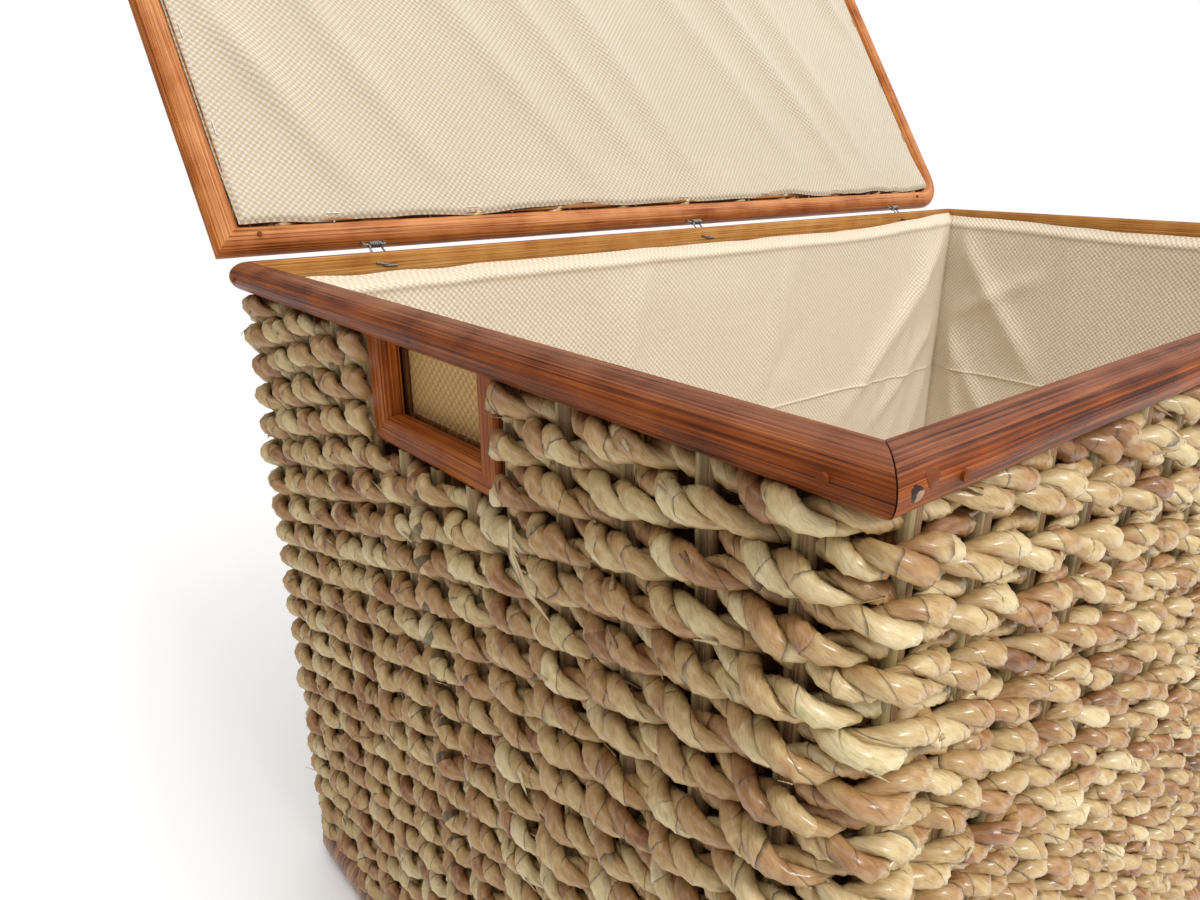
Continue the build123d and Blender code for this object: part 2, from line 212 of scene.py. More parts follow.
def ramp(tree, factor, stops):
    made = put(tree, "ShaderNodeValToRGB", {"Fac": factor})
    elements = made.color_ramp.elements
    while len(elements) < len(stops):
        elements.new(0.5)
    for element, (position, colour) in zip(elements, stops):
        element.position = position
        element.color = (*colour, 1)
    return made.outputs["Color"]


def mixColour(tree, factor, first, second, blend="MIX"):
    made = tree.nodes.new("ShaderNodeMix")
    made.data_type, made.blend_type = "RGBA", blend
    for socket, value in ((made.inputs[0], factor), (made.inputs[6], first), (made.inputs[7], second)):
        if isinstance(value, bpy.types.NodeSocket):
            tree.links.new(value, socket)
        elif isinstance(value, tuple):
            socket.default_value = (*value, 1)
        else:
            socket.default_value = value
    return made.outputs[2]


def tinted(tree, colour, other, mask, amount):
    # moves a colour towards another by amount where the mask is 1
    return mixColour(tree, calc(tree, "MULTIPLY", mask, amount), colour, other)


def spread(tree, value, low, high, newLow=0.0, newHigh=1.0):
    values = {"Value": value, "From Min": low, "From Max": high, "To Min": newLow, "To Max": newHigh}
    return put(tree, "ShaderNodeMapRange", values).outputs["Result"]


def noise(tree, vector, scale, detail=2.0, roughness=0.5):
    values = {"Vector": vector, "Scale": scale, "Detail": detail, "Roughness": roughness}
    return put(tree, "ShaderNodeTexNoise", values).outputs["Fac"]


def newGroup(name, vector, inputs, outputs):
    # a group with one vector input, named number inputs with their first values, and number outputs
    group = bpy.data.node_groups.new(name, "ShaderNodeTree")
    group.interface.new_socket(vector, in_out="INPUT", socket_type="NodeSocketVector")
    for socketName, value in inputs.items():
        socket = group.interface.new_socket(socketName, in_out="INPUT", socket_type="NodeSocketFloat")
        socket.default_value = value
    for socketName in outputs:
        group.interface.new_socket(socketName, in_out="OUTPUT", socket_type="NodeSocketFloat")
    given = group.nodes.new("NodeGroupInput").outputs
    result = group.nodes.new("NodeGroupOutput")
    return group, given, result


def putOut(group, result, **values):
    for name, socket in values.items():
        group.links.new(socket, result.inputs[name])


def useGroup(tree, group, values):
    made = tree.nodes.new("ShaderNodeGroup")
    made.node_tree = group
    for key, value in values.items():
        if isinstance(value, bpy.types.NodeSocket):
            tree.links.new(value, made.inputs[key])
        else:
            made.inputs[key].default_value = value
    return made


def newMaterial(name, shader):
    material = bpy.data.materials.new(name)
    material.use_nodes = True
    tree = material.node_tree
    tree.nodes.clear()
    principled = put(tree, "ShaderNodeBsdfPrincipled", shader)
    output = tree.nodes.new("ShaderNodeOutputMaterial")
    tree.links.new(principled.outputs[0], output.inputs[0])
    return material, tree, principled


def connect(tree, principled, **sockets):
    for name, socket in sockets.items():
        tree.links.new(socket, principled.inputs[name.replace("_", " ")])


def bump(tree, height, distance):
    return put(tree, "ShaderNodeBump", {"Height": height, "Distance": distance, "Strength": 1.0}).outputs[0]


def attribute(tree, name, output):
    return put(tree, "ShaderNodeAttribute", attribute_name=name).outputs[output]


# Fibre streaks that run the length of a pole, strip or leaf


def buildFibreGroup():
    group, given, result = newGroup(
        "fibreStreaks", "Vector", {"Across": 900.0, "Along": 25.0}, ("Streak", "Fine", "Patch")
    )
    across, along = given["Across"], given["Along"]
    stretched = stretch(group, given["Vector"], across, across, along)
    putOut(
        group,
        result,
        Streak=noise(group, stretched, 1.0, 3.0, 0.6),
        Fine=noise(group, stretched, 3.7, 3.0, 0.65),
        Patch=noise(group, given["Vector"], 38.0, 2.0, 0.5),
    )
    return group


fibreStreaks = buildFibreGroup()


def makeRattan(name, look, axis=None):
    # varnished cane with long streaks, lighter where tone is high: wear together with a painted sheen; on a
    # piece that keeps its CAD shape the streaks follow the given axis, and no wear or sheen is painted
    shader = {"Coat Weight": look["coat"], "Coat Roughness": 0.16, "Specular IOR Level": 0.09}
    material, tree, principled = newMaterial(name, shader)
    if axis is None:
        place = attribute(tree, "run", "Vector")
    else:
        parts = splitVector(tree, put(tree, "ShaderNodeTexCoord").outputs["Object"])
        place = joinVector(tree, *(parts[i] for i in range(3) if i != axis), parts[axis])
    values = {"Vector": place, "Across": look["across"], "Along": look["along"]}
    streak, fine, patch = useGroup(tree, fibreStreaks, values).outputs
    colour = ramp(tree, spread(tree, weighted(tree, streak, 0.72, patch, 0.28), 0.32, 0.68), look["colours"])
    colour = tinted(tree, colour, look["lineColour"], spread(tree, fine, 0.52, 0.66), look["lines"])
    if axis is None:
        high = spread(tree, calc(tree, "ADD", streak, patch), 0.72, 1.12)
        # wear and painted sheen: lightened where tone is high and the streaks run high
        wornAndSheen = calc(tree, "MULTIPLY", attribute(tree, "tone", "Fac"), high, clamp=True)
        colour = tinted(tree, colour, look["wearAndSheenColour"], wornAndSheen, look["wearAndSheen"])
    connect(
        tree,
        principled,
        Base_Color=colour,
        Roughness=spread(tree, calc(tree, "ADD", fine, patch), 0.6, 1.4, *look["roughness"]),
        Normal=bump(tree, weighted(tree, streak, 0.6, fine, 0.4), look["relief"]),
    )
    return material


rattanLook = dict(
    across=1150.0,
    along=7.0,
    coat=0.05,
    colours=[
        (0.08, (0.036, 0.006, 0.001)),
        (0.30, (0.105, 0.020, 0.002)),
        (0.52, (0.205, 0.043, 0.005)),
        (0.75, (0.300, 0.072, 0.010)),
        (0.95, (0.390, 0.118, 0.026)),
    ],
    lines=0.60,
    lineColour=(0.035, 0.009, 0.003),
    # greyish wear together with the painted sheen of the white backdrop on the rail tops
    wearAndSheen=0.40,
    wearAndSheenColour=(0.210, 0.110, 0.072),
    roughness=(0.24, 0.46),
    relief=0.0007,
)
bareLook = dict(
    rattanLook,
    coat=0.06,
    colours=[
        (0.10, (0.260, 0.085, 0.016)),
        (0.40, (0.450, 0.190, 0.045)),
        (0.65, (0.560, 0.275, 0.076)),
        (0.90, (0.630, 0.340, 0.115)),
    ],
    lines=0.35,
    lineColour=(0.210, 0.070, 0.020),
    wearAndSheen=0.0,
    roughness=(0.38, 0.58),
)
lidCaneLook = dict(
    rattanLook,
    colours=[
        (0.08, (0.140, 0.028, 0.004)),
        (0.35, (0.330, 0.085, 0.014)),
        (0.60, (0.510, 0.160, 0.032)),
        (0.88, (0.660, 0.270, 0.075)),
    ],
    lines=0.40,
    lineColour=(0.110, 0.027, 0.007),
    # wear together with a painted highlight on the lit side of the lid's poles
    wearAndSheen=0.5,
    wearAndSheenColour=(0.520, 0.300, 0.170),
)
frameLook = dict(
    rattanLook,
    colours=[
        (0.10, (0.100, 0.016, 0.002)),
        (0.40, (0.225, 0.048, 0.005)),
        (0.65, (0.350, 0.092, 0.013)),
        (0.90, (0.460, 0.150, 0.032)),
    ],
    lines=0.5,
)
backingLook = dict(
    rattanLook,
    across=300.0,
    along=6.0,
    coat=0.0,
    colours=[
        (0.10, (0.060, 0.022, 0.007)),
        (0.40, (0.170, 0.064, 0.019)),
        (0.65, (0.280, 0.118, 0.038)),
        (0.90, (0.380, 0.180, 0.065)),
    ],
    lines=0.5,
    roughness=(0.5, 0.75),
)

rimCane = makeRattan("rimCane", rattanLook)
rimInside = makeRattan("rimInside", bareLook)
lidCane = makeRattan("lidCane", lidCaneLook)
postCane = makeRattan("postCane", frameLook, 2)
sillCane = makeRattan("sillCane", frameLook, 1)
reedUpright = makeRattan("reedUpright", backingLook, 2)
reedLengthways = makeRattan("reedLengthways", dict(backingLook, across=180.0), 0)
print("cane materials made")

# Twisted leaf rope: leaves wound round each strand, with painted shade along the edges where one lies over the
# next

leafLook = dict(
    wrap=4.2,  # strand radii along for each turn of the leaf
    straw=[
        (0.12, (0.150, 0.057, 0.018)),
        (0.30, (0.300, 0.136, 0.050)),
        (0.44, (0.425, 0.235, 0.095)),
        (0.56, (0.500, 0.330, 0.140)),
        (0.70, (0.620, 0.475, 0.240)),
        (0.84, (0.705, 0.575, 0.330)),
        (0.96, (0.530, 0.440, 0.175)),
    ],
    fibreColour=(0.330, 0.190, 0.085),
    stainColour=(0.260, 0.130, 0.055),
    edgeShadeColour=(0.040, 0.017, 0.006),
    relief=0.00085,
)


def buildLeafGroup():
    group, given, result = newGroup(
        "woundLeaf", "Run", {"Wrap": 2.0}, ("Leaf", "Edge", "Step", "Fibre", "Blotch")
    )
    run = given["Run"]
    x, y, z = splitVector(group, run)
    angle = calc(group, "DIVIDE", calc(group, "ARCTAN2", y, x), tau)
    wobble = calc(group, "MULTIPLY", noise(group, run, 0.16, 0.0), 2.2)
    along = calc(group, "ADD", calc(group, "DIVIDE", z, given["Wrap"]), wobble)
    apart = calc(group, "SUBTRACT", along, angle)
    turn = calc(group, "FLOOR", apart)
    across = calc(group, "SUBTRACT", apart, turn)  # 0 to 1 from one leaf edge to the next
    place = calc(group, "MULTIPLY", calc(group, "ADD", angle, turn), 0.83)
    leafTone = put(
        group, "ShaderNodeTexNoise", {"W": place, "Scale": 1.0, "Detail": 1.0}, noise_dimensions="1D"
    )
    shown = spread(group, noise(group, run, 0.33, 1.0), 0.38, 0.52)  # edges come and go
    # painted shade: a dark line on the side of each edge where one leaf lies over the next
    line = calc(group, "POWER", spread(group, across, 0.0, 0.10, 1.0, 0.0), 1.2)
    slope, fall = spread(group, across, 0.0, 0.9), spread(group, across, 0.9, 1.0, 1.0, 0.85)
    rise = calc(group, "MULTIPLY", slope, fall)
    putOut(
        group,
        result,
        Leaf=leafTone.outputs["Fac"],
        Edge=calc(group, "MULTIPLY", line, shown),
        Step=calc(group, "MULTIPLY", rise, spread(group, shown, 0.0, 1.0, 0.3, 1.0)),
        Fibre=noise(group, stretch(group, run, 7.0, 7.0, 0.8), 1.0, 3.0, 0.6),
        Blotch=noise(group, run, 0.9, 3.0, 0.6),
    )
    return group


woundLeaf = buildLeafGroup()


def makeLeafRope(name, look):
    shader = {"Specular IOR Level": 0.36, "Coat Weight": 0.45, "Coat Roughness": 0.12}
    material, tree, principled = newMaterial(name, shader)
    leaf = useGroup(tree, woundLeaf, {"Run": attribute(tree, "run", "Vector"), "Wrap": look["wrap"]}).outputs
    fibre, blotch = leaf["Fibre"], leaf["Blotch"]
    shade = weighted(tree, attribute(tree, "tone", "Fac"), 0.50, leaf["Leaf"], 0.44)
    shade = calc(tree, "ADD", shade, spread(tree, blotch, 0.25, 0.75, -0.07, 0.17))
    colour = ramp(tree, shade, look["straw"])
    streaks = calc(tree, "MULTIPLY", spread(tree, fibre, 0.50, 0.72), 0.34)
    colour = mixColour(tree, streaks, colour, look["fibreColour"], "MULTIPLY")
    colour = tinted(tree, colour, look["stainColour"], spread(tree, blotch, 0.66, 0.80), 0.55)
    # painted shade along the leaf edges
    colour = tinted(tree, colour, look["edgeShadeColour"], leaf["Edge"], 0.90)
    connect(
        tree,
        principled,
        Base_Color=colour,
        Roughness=spread(tree, calc(tree, "ADD", fibre, blotch), 0.7, 1.35, 0.30, 0.60),
        Normal=bump(tree, weighted(tree, leaf["Step"], 1.0, fibre, 0.30), look["relief"]),
    )
    return material


leafRope = makeLeafRope("leafRope", leafLook)
print("rope material made")

# Rope rows


loopStep = 0.0005


def loopTable(halfX, halfY, radius):
    # a rounded rectangle from the middle of the left-hand side, counter-clockwise from above
    corners = [(-1, -1, math.pi), (1, -1, 1.5 * math.pi), (1, 1, tau), (-1, 1, 2.5 * math.pi)]
    points, angles = [(-halfX, 0.0)], [math.pi]
    for sideX, sideY, start in corners:
        centre = np.array((sideX * (halfX - radius), sideY * (halfY - radius)))
        for angle in np.linspace(start, start + math.pi / 2, max(2, int(radius * math.pi / 2 / loopStep))):
            points.append(tuple(centre + radius * np.array((math.cos(angle), math.sin(angle)))))
            angles.append(angle)
    points.append((-halfX, 0.0))
    angles.append(3 * math.pi)
    points = np.array(points)
    lengths = np.concatenate([[0], np.cumsum(np.linalg.norm(np.diff(points, axis=0), axis=1))])
    return dict(points=points, angles=np.array(angles), lengths=lengths, total=lengths[-1])


def onLoop(loop, s):
    s = np.asarray(s) % loop["total"] if np.max(s) > loop["total"] else np.asarray(s)
    x = np.interp(s, loop["lengths"], loop["points"][:, 0])
    y = np.interp(s, loop["lengths"], loop["points"][:, 1])
    angle = np.interp(s, loop["lengths"], loop["angles"])
    flat = np.zeros_like(x)
    centre = np.stack([x, y, flat], -1)
    outward = np.stack([np.cos(angle), np.sin(angle), flat], -1)
    forward = np.stack([-np.sin(angle), np.cos(angle), flat], -1)
    return centre, outward, forward


rope = dict(
    rowPitch=0.0092,
    topGap=0.0055,  # from the rim's underside to the middle of the first row
    rows=43,
    corner=0.014,
    lobe=0.0055,  # how far a row stands in front of or behind its stakes
    twist=0.0033,
    thick=0.00345,
    wide=0.0038,
    fat=0.13,  # the share by which a strand is fuller where it stands outside
    squeeze=0.68,  # the rope's height where it passes between stakes
    sides=10,
    step=0.0031,
    turnSqueeze=0.86,
    turnBulge=0.0012,
    # how far a turn's middle goes past its last stake, and below 0 how far it stays short of it
    turnReach=dict(front=-0.0045, back=-0.0015),
    looseShare=0.045,  # of the points along a strand, those where a bit of leaf may stand out
    seed=41,
)

halfStake = 0.00225
stakeLine = float(-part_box("stakes_front")[0].y - halfStake)  # the stakes' middle
stakeInset = basket["halfY"] - stakeLine
sideX = basket["halfX"] - stakeInset
wallLoop = loopTable(sideX, stakeLine, rope["corner"])
longPlaces = stakeCentres("stakes_front", 0)
endPlaces = stakeCentres("stakes_left", 1)
stakeSpots = [(x, side * stakeLine) for side in (-1, 1) for x in longPlaces]
stakeSpots += [(side * sideX, y) for side in (-1, 1) for y in endPlaces]


def loopPlace(spot):
    fine = np.arange(0, wallLoop["total"], loopStep)
    centre, _, _ = onLoop(wallLoop, fine)
    return fine[np.argmin(np.linalg.norm(centre[:, :2] - np.array(spot), axis=1))]


stakeRun = np.sort([loopPlace(spot) for spot in stakeSpots])
stakeRun[0] = 0.0
stakeCount = len(stakeRun)
runKnots = np.append(stakeRun, wallLoop["total"])


def stakeNumber(s):
    return np.interp(s, runKnots, np.arange(stakeCount + 1))


def rowRun(s, level, row, rng, ends=None):
    # one row along part of the loop: middle, two directions, the strands' angle and the squeeze
    centre, outward, _ = onLoop(wallLoop, s)
    number = stakeNumber(s)
    wave = np.cos(math.pi * (number + row))
    total = wallLoop["total"]
    window = 1.0
    if ends is not None:
        window = smoothStep(np.minimum(number - ends[0], ends[1] - number), 0.0, 1.5)
    lobe = rope["lobe"] * (1 + 0.16 * window * drift(rng, s, 0.04, total))
    centre = centre + outward * (wave * lobe)[:, None]
    centre[:, 2] = level + window * 0.0009 * drift(rng, s, 0.04, total)
    angle = -tau * number + math.pi / 2 + window * 0.70 * drift(rng, s, 0.05, total)
    squeeze = rope["squeeze"] + (1 - rope["squeeze"]) * wave * wave
    side = np.broadcast_to(up, centre.shape)
    return dict(centre=centre, outward=outward, side=side, angle=angle, squeeze=squeeze)


def turnRun(s, number, row, pair, way, reach):
    # the rope goes round the last stake and comes back as the next row down or up
    centre, outward, forward = (part[0] for part in onLoop(wallLoop, np.array([s])))
    face = 1 if (number + row) % 2 == 0 else -1
    swing = np.linspace(0, math.pi, 11)[1:-1]
    cosine, sine = np.cos(swing)[:, None], np.sin(swing)[:, None]
    toward = way * forward
    middle = centre + outward * face * rope["lobe"] * cosine + toward * reach * sine
    middle = middle + outward * rope["turnBulge"] * sine
    middle[:, 2] = pair[0] + (pair[1] - pair[0]) * (0.5 - 0.5 * np.cos(swing))
    return dict(
        centre=middle,
        outward=outward * face * cosine + toward * sine,
        side=np.broadcast_to(up, middle.shape),
        angle=math.pi / 2 - face * way * tau * swing / math.pi,
        squeeze=np.full(len(swing), rope["turnSqueeze"]),
    )


def joinRuns(runs):
    return {key: np.concatenate([run[key] for run in runs]) for key in runs[0]}


ropeEnds = []  # places where a loose bit of leaf may stand out


def addRope(skin, run, rng):
    # lays two strands round the rope's middle line, which is closed
    centre, outward, side = run["centre"], run["outward"], run["side"]
    squeeze = run["squeeze"][:, None]
    along = np.concatenate([[0], np.cumsum(np.linalg.norm(np.diff(centre, axis=0), axis=1))])
    total = along[-1] + rope["step"]
    theta = np.arange(rope["sides"]) / rope["sides"] * tau
    around = np.stack([np.cos(theta), np.sin(theta)], -1)
    for strand in (0, 1):
        angle = run["angle"] + math.pi * strand
        radial = np.cos(angle)[:, None] * outward + np.sin(angle)[:, None] * side
        middle = centre + rope["twist"] * radial
        middle = middle + (squeeze - 1) * ((middle - centre) * side).sum(1, keepdims=True) * side
        forward = unit(np.roll(middle, -1, 0) - np.roll(middle, 1, 0))
        first = unit(radial - (radial * forward).sum(1, keepdims=True) * forward)
        second = np.cross(forward, first)
        uneven = 1 + 0.11 * drift(rng, along, 0.011, total) + 0.07 * drift(rng, along, 0.03, total)
        fat = 1 + rope["fat"] * np.cos(angle)
        thick = rope["thick"] * uneven * fat
        wide = rope["wide"] * (1.5 - 0.5 * uneven) * fat
        lumpSize = 0.08 * drift(rng, along, 0.01, total)[:, None]
        lump = 1 + lumpSize * np.cos(2 * theta + 2 * drift(rng, along, 0.02, total)[:, None])
        ring = (thick[:, None] * lump * np.cos(theta))[..., None] * first[:, None]
        ring = ring + (wide[:, None] * lump * np.sin(theta))[..., None] * second[:, None]
        sideways = (ring * side[:, None]).sum(2, keepdims=True)
        ring = ring + (np.sqrt(squeeze)[:, None] - 1) * sideways * side[:, None]
        length = along / rope["thick"] + rng.uniform(0, 4000)
        place = [np.broadcast_to(part, ring.shape[:2]) for part in (*around.T, length[:, None])]
        tone = 0.56 + 0.19 * drift(rng, along, 0.045, total) + 0.19 * drift(rng, along, 0.015, total)
        tone = np.clip(tone, 0.02, 1.0)
        skin.tube(middle[:, None] + ring, np.stack(place, -1), tone[:, None], closed=True)
        looseCount = max(2, int(len(along) * rope["looseShare"]))
        for i in rng.choice(len(along), looseCount, replace=False):
            if np.cos(angle[i]) > 0.1:
                ropeEnds.append((middle[i], first[i], forward[i], thick[i], tone[i]))


def evenRun(start, end):
    count = max(3, int(round(abs(end - start) / rope["step"])))
    return np.linspace(start, end, count, endpoint=False)


levels = basket["rimBottom"] - rope["topGap"] - rope["rowPitch"] * np.arange(rope["rows"])
holdRows = int(np.sum(levels > sillLow.z - 0.003))  # rows that stop at the hand-holds
nearHold = holdHigh.y  # half the frame's width
ropeRng = np.random.default_rng(rope["seed"])


def nearestStake(x, y):
    return int(np.argmin(np.abs(stakeRun - loopPlace((x, y)))))


# Rows beside the hand-holds run in pairs, front and back
foreY, rearY = endPlaces[endPlaces < -nearHold].max(), endPlaces[endPlaces > nearHold].min()
topRows = (
    ("front", nearestStake(-sideX, foreY), nearestStake(sideX, foreY)),
    ("back", nearestStake(sideX, rearY), nearestStake(-sideX, rearY)),
)
weaveNodes = ["weave_front", "weave_back"]
weaveNodes += [f"weave_{side}_{part}" for side in ("left", "right") for part in ("lower", "fore", "rear")]
for name, first, last in topRows:
    skin = Skin()
    reach = rope["turnReach"][name]
    for row in range(0, holdRows, 2):
        pair = (levels[row], levels[row + 1])
        start, end = stakeRun[first], stakeRun[last]
        runs = [
            rowRun(evenRun(start, end), pair[0], row, ropeRng, (first, last)),
            turnRun(end, last, row, pair, 1, reach),
            rowRun(evenRun(end, start), pair[1], row + 1, ropeRng, (first, last)),
            turnRun(start, first, row + 1, pair[::-1], -1, reach),
        ]
        addRope(skin, joinRuns(runs), ropeRng)
    replaced = weaveNodes if name == "front" else ()
    skin.build(f"rope_rows_top_{name}", leafRope, "basket", replaced)

rowsEach = 5
for number, start in enumerate(range(holdRows, rope["rows"], rowsEach)):
    skin = Skin()
    for row in range(start, min(start + rowsEach, rope["rows"])):
        addRope(skin, rowRun(evenRun(0, wallLoop["total"]), levels[row], row, ropeRng), ropeRng)
    skin.build(f"rope_rows_{number + 1:02d}", leafRope, "basket")
print("rope rows laid:", rope["rows"])

# Loose bits of leaf that lift off the rope

frayLook = dict(length=(0.004, 0.011), width=(0.0010, 0.0030), lift=0.0013, seed=9)
leafRound = np.array([[1.0, 0.0], [0.4, 1.0], [-1.0, 0.2], [-0.4, -1.0]])  # round a leaf's thin edge


def leafRun(lengths):
    # where each point of a flat leaf lies on the wound leaf
    shape = (len(lengths), len(leafRound))
    parts = [np.broadcast_to(part, shape) for part in (*leafRound.T, lengths[:, None])]
    return np.stack(parts, -1)


def addLeaf(skin, centre, half, thickness, lengths, tone):
    ring = np.stack([centre - half, centre - thickness, centre + half, centre + thickness], 1)
    skin.tube(ring, leafRun(lengths), tone)


def addFray(skin, spot, rng):
    middle, first, forward, thick, tone = spot
    length = rng.uniform(*frayLook["length"])
    width = rng.uniform(*frayLook["width"])
    lift = frayLook["lift"] * rng.uniform(0.2, 1.0)
    turn = rng.uniform(-0.5, 0.5)
    heading = forward * math.cos(turn) * rng.choice((-1, 1)) + np.cross(first, forward) * math.sin(turn)
    heading = unit(heading)
    t = np.linspace(0, 1, 6)
    centre = middle + first * (thick * 1.02 + lift * t**1.6)[:, None] + heading * (length * t)[:, None]
    half = (width / 2 * (1 - t**1.5 * 0.92))[:, None] * np.cross(first, heading)
    lengths = t * 4 + rng.uniform(0, 900)
    addLeaf(skin, centre, half, first * 0.00018, lengths, np.clip(tone + rng.uniform(-0.10, 0.15), 0, 1))


frayRng = np.random.default_rng(frayLook["seed"])
skin = Skin()
for spot in ropeEnds:
    addFray(skin, spot, frayRng)

# One long strip that has come away below the left-hand hold
stripLook = dict(
    route=[
        (-0.4105, -0.0930, 0.3830),
        (-0.4150, -0.1000, 0.3735),
        (-0.4160, -0.1110, 0.3635),
        (-0.4140, -0.1266, 0.3535),
    ],
    across=(0.0, 0.66, -0.75),
    halfWidth=0.0024,
    thickness=0.00015,
    tone=0.62,
)
t = np.linspace(0, 3, 13)
centre = np.stack([np.interp(t, range(4), part) for part in zip(*stripLook["route"])], -1)
taper = np.sin(np.clip(t / 3 + 0.12, 0, 1) * math.pi) ** 0.6
half = (stripLook["halfWidth"] * taper + 0.0001)[:, None] * unit(np.array(stripLook["across"]))
addLeaf(skin, centre, half, np.array((stripLook["thickness"], 0, 0)), t, stripLook["tone"])
skin.build("leaf_ends", leafRope, "basket")
print("loose leaf ends:", len(ropeEnds))

# Stakes: a smooth pale strip beside a ridged brown one

stakeLook = dict(
    pieces=26,
    warp=0.0005,
    spin=0.06,
    smooth=[(0.3, (0.250, 0.180, 0.075)), (0.5, (0.420, 0.320, 0.140)), (0.7, (0.540, 0.420, 0.210))],
    ridged=[(0.3, (0.110, 0.058, 0.024)), (0.48, (0.330, 0.190, 0.085)), (0.68, (0.520, 0.350, 0.180))],
    seed=5,
)
# its outline in mm, along the wall and out from it, with a tone for each point: low is smooth, high ridged
stakeOutline = [
    (-3.75, -1.2, 0.1), (-3.6, 0.5, 0.1), (-3.1, 1.6, 0.1), (-2.4, 2.1, 0.1), (-1.7, 2.2, 0.1),
    (-1.1, 1.8, 0.1), (-0.75, 0.9, 0.1), (-0.55, 0.0, 0.0), (-0.35, 1.1, 0.75), (0.1, 1.75, 0.9),
    (0.5, 1.8, 0.8), (0.8, 1.1, 0.5), (1.1, 1.7, 0.8), (1.5, 1.9, 0.95), (1.9, 1.75, 0.8),
    (2.2, 1.0, 0.45), (2.5, 1.6, 0.75), (2.9, 1.75, 0.85), (3.3, 1.4, 0.8), (3.65, 0.6, 0.7),
    (3.75, 0.0, 0.7), (3.75, -2.1, 0.6), (1.5, -2.2, 0.6), (-0.7, -2.2, 0.4), (-2.5, -2.2, 0.2),
    (-3.75, -2.1, 0.1),
]
stakeAcross, stakeOut, stakeTone = np.array(stakeOutline).T
stakeAcross, stakeOut = stakeAcross / 1000, stakeOut / 1000


def addStake(skin, base, across, outward, rise, length, rng):
    t = np.linspace(0, length, stakeLook["pieces"])
    shift = stakeLook["warp"] * drift(rng, t, 0.06)
    spin = stakeLook["spin"] * drift(rng, t, 0.12)
    w = stakeAcross[None] + shift[:, None] + 0.00012 * drift(rng, t, 0.02)[:, None]
    d = stakeOut[None] * (1 + 0.06 * drift(rng, t, 0.03)[:, None]) + w * spin[:, None]
    points = base + t[:, None, None] * rise + w[..., None] * across + d[..., None] * outward
    place = np.broadcast_arrays(stakeAcross[None], stakeOut[None], t[:, None] + rng.uniform(0, 50))
    skin.tube(points, np.stack(place, -1), stakeTone[None])


def makeStakeCane():
    material, tree, principled = newMaterial("stakeCane", {"Specular IOR Level": 0.5})
    values = {"Vector": attribute(tree, "run", "Vector"), "Across": 1500.0, "Along": 14.0}
    streak, fine, patch = useGroup(tree, fibreStreaks, values).outputs
    tone = attribute(tree, "tone", "Fac")
    smooth = ramp(tree, weighted(tree, streak, 0.5, patch, 0.5), stakeLook["smooth"])
    ridged = ramp(tree, weighted(tree, fine, 0.6, patch, 0.4), stakeLook["ridged"])
    connect(
        tree,
        principled,
        Base_Color=mixColour(tree, spread(tree, tone, 0.15, 0.5), smooth, ridged),
        Roughness=spread(tree, tone, 0.0, 0.8, 0.32, 0.62),
        Normal=bump(tree, fine, 0.0004),
    )
    return material


stakeCane = makeStakeCane()
stakeRng = np.random.default_rng(stakeLook["seed"])
xAxis, yAxis = np.array((1.0, 0, 0)), np.array((0, 1.0, 0))
stakeLow, stakeHigh = (corner.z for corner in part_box("stakes_front"))
walls = (
    ("front", longPlaces, lambda x: (x, -stakeLine), xAxis, -yAxis),
    ("back", longPlaces, lambda x: (x, stakeLine), -xAxis, yAxis),
    ("left", endPlaces, lambda y: (-sideX, y), -yAxis, -xAxis),
    ("right", endPlaces, lambda y: (sideX, y), yAxis, xAxis),
)
for name, places, spotOf, across, outward in walls:
    skin = Skin()
    for place in places:
        underHold = name in ("left", "right") and abs(place) < nearHold
        length = (sillLow.z if underHold else stakeHigh) - stakeLow
        base = np.array((*spotOf(place), stakeLow))
        addStake(skin, base, across, outward, up, length, stakeRng)
    skin.build(f"cane_stakes_{name}", stakeCane, "basket", [f"stakes_{name}"])
print("stakes made:", stakeCount)

# Rim: split cane with a bare flat inside

rimLook = dict(flat=0.003, edge=0.0008, points=22, uneven=0.00022, mitreGap=0.0003, seed=3)
poleStep = 0.006  # between the rings of points along a pole
thinning = 0.014  # a waver of this size would thin a pole to nothing
depth, half = basket["rimDepth"], (basket["top"] - basket["rimBottom"]) / 2
rimMiddle = basket["top"] - half


def rimProfile():
    # points as (out, up) from the middle of the flat inner face, counter-clockwise seen along the pole
    arc = np.linspace(-math.pi / 2, math.pi / 2, rimLook["points"])
    flat, edge = rimLook["flat"], rimLook["edge"]
    outer = np.stack([flat + (depth - flat) * np.cos(arc), half * np.sin(arc)], -1)
    top = [(flat * 0.55, half), (edge, half), (edge * 0.3, half - edge * 0.3), (0.0, half - edge)]
    inner = [(0.0, half * 0.45), (0.0, 0.0), (0.0, -half * 0.45)]
    below = [(0.0, -half + edge), (edge * 0.3, -half + edge * 0.3), (edge, -half), (flat * 0.55, -half)]
    return np.concatenate([outer, np.array(top + inner + below)])


rimShape = rimProfile()
# the rail's top, lightened in makeRattan with wear and a painted sheen of the backdrop
rimTopWearAndSheen = smoothStep(rimShape[:, 1] / half, 0.35, 0.95) * smoothStep(rimShape[:, 0], 0.0, 0.002)


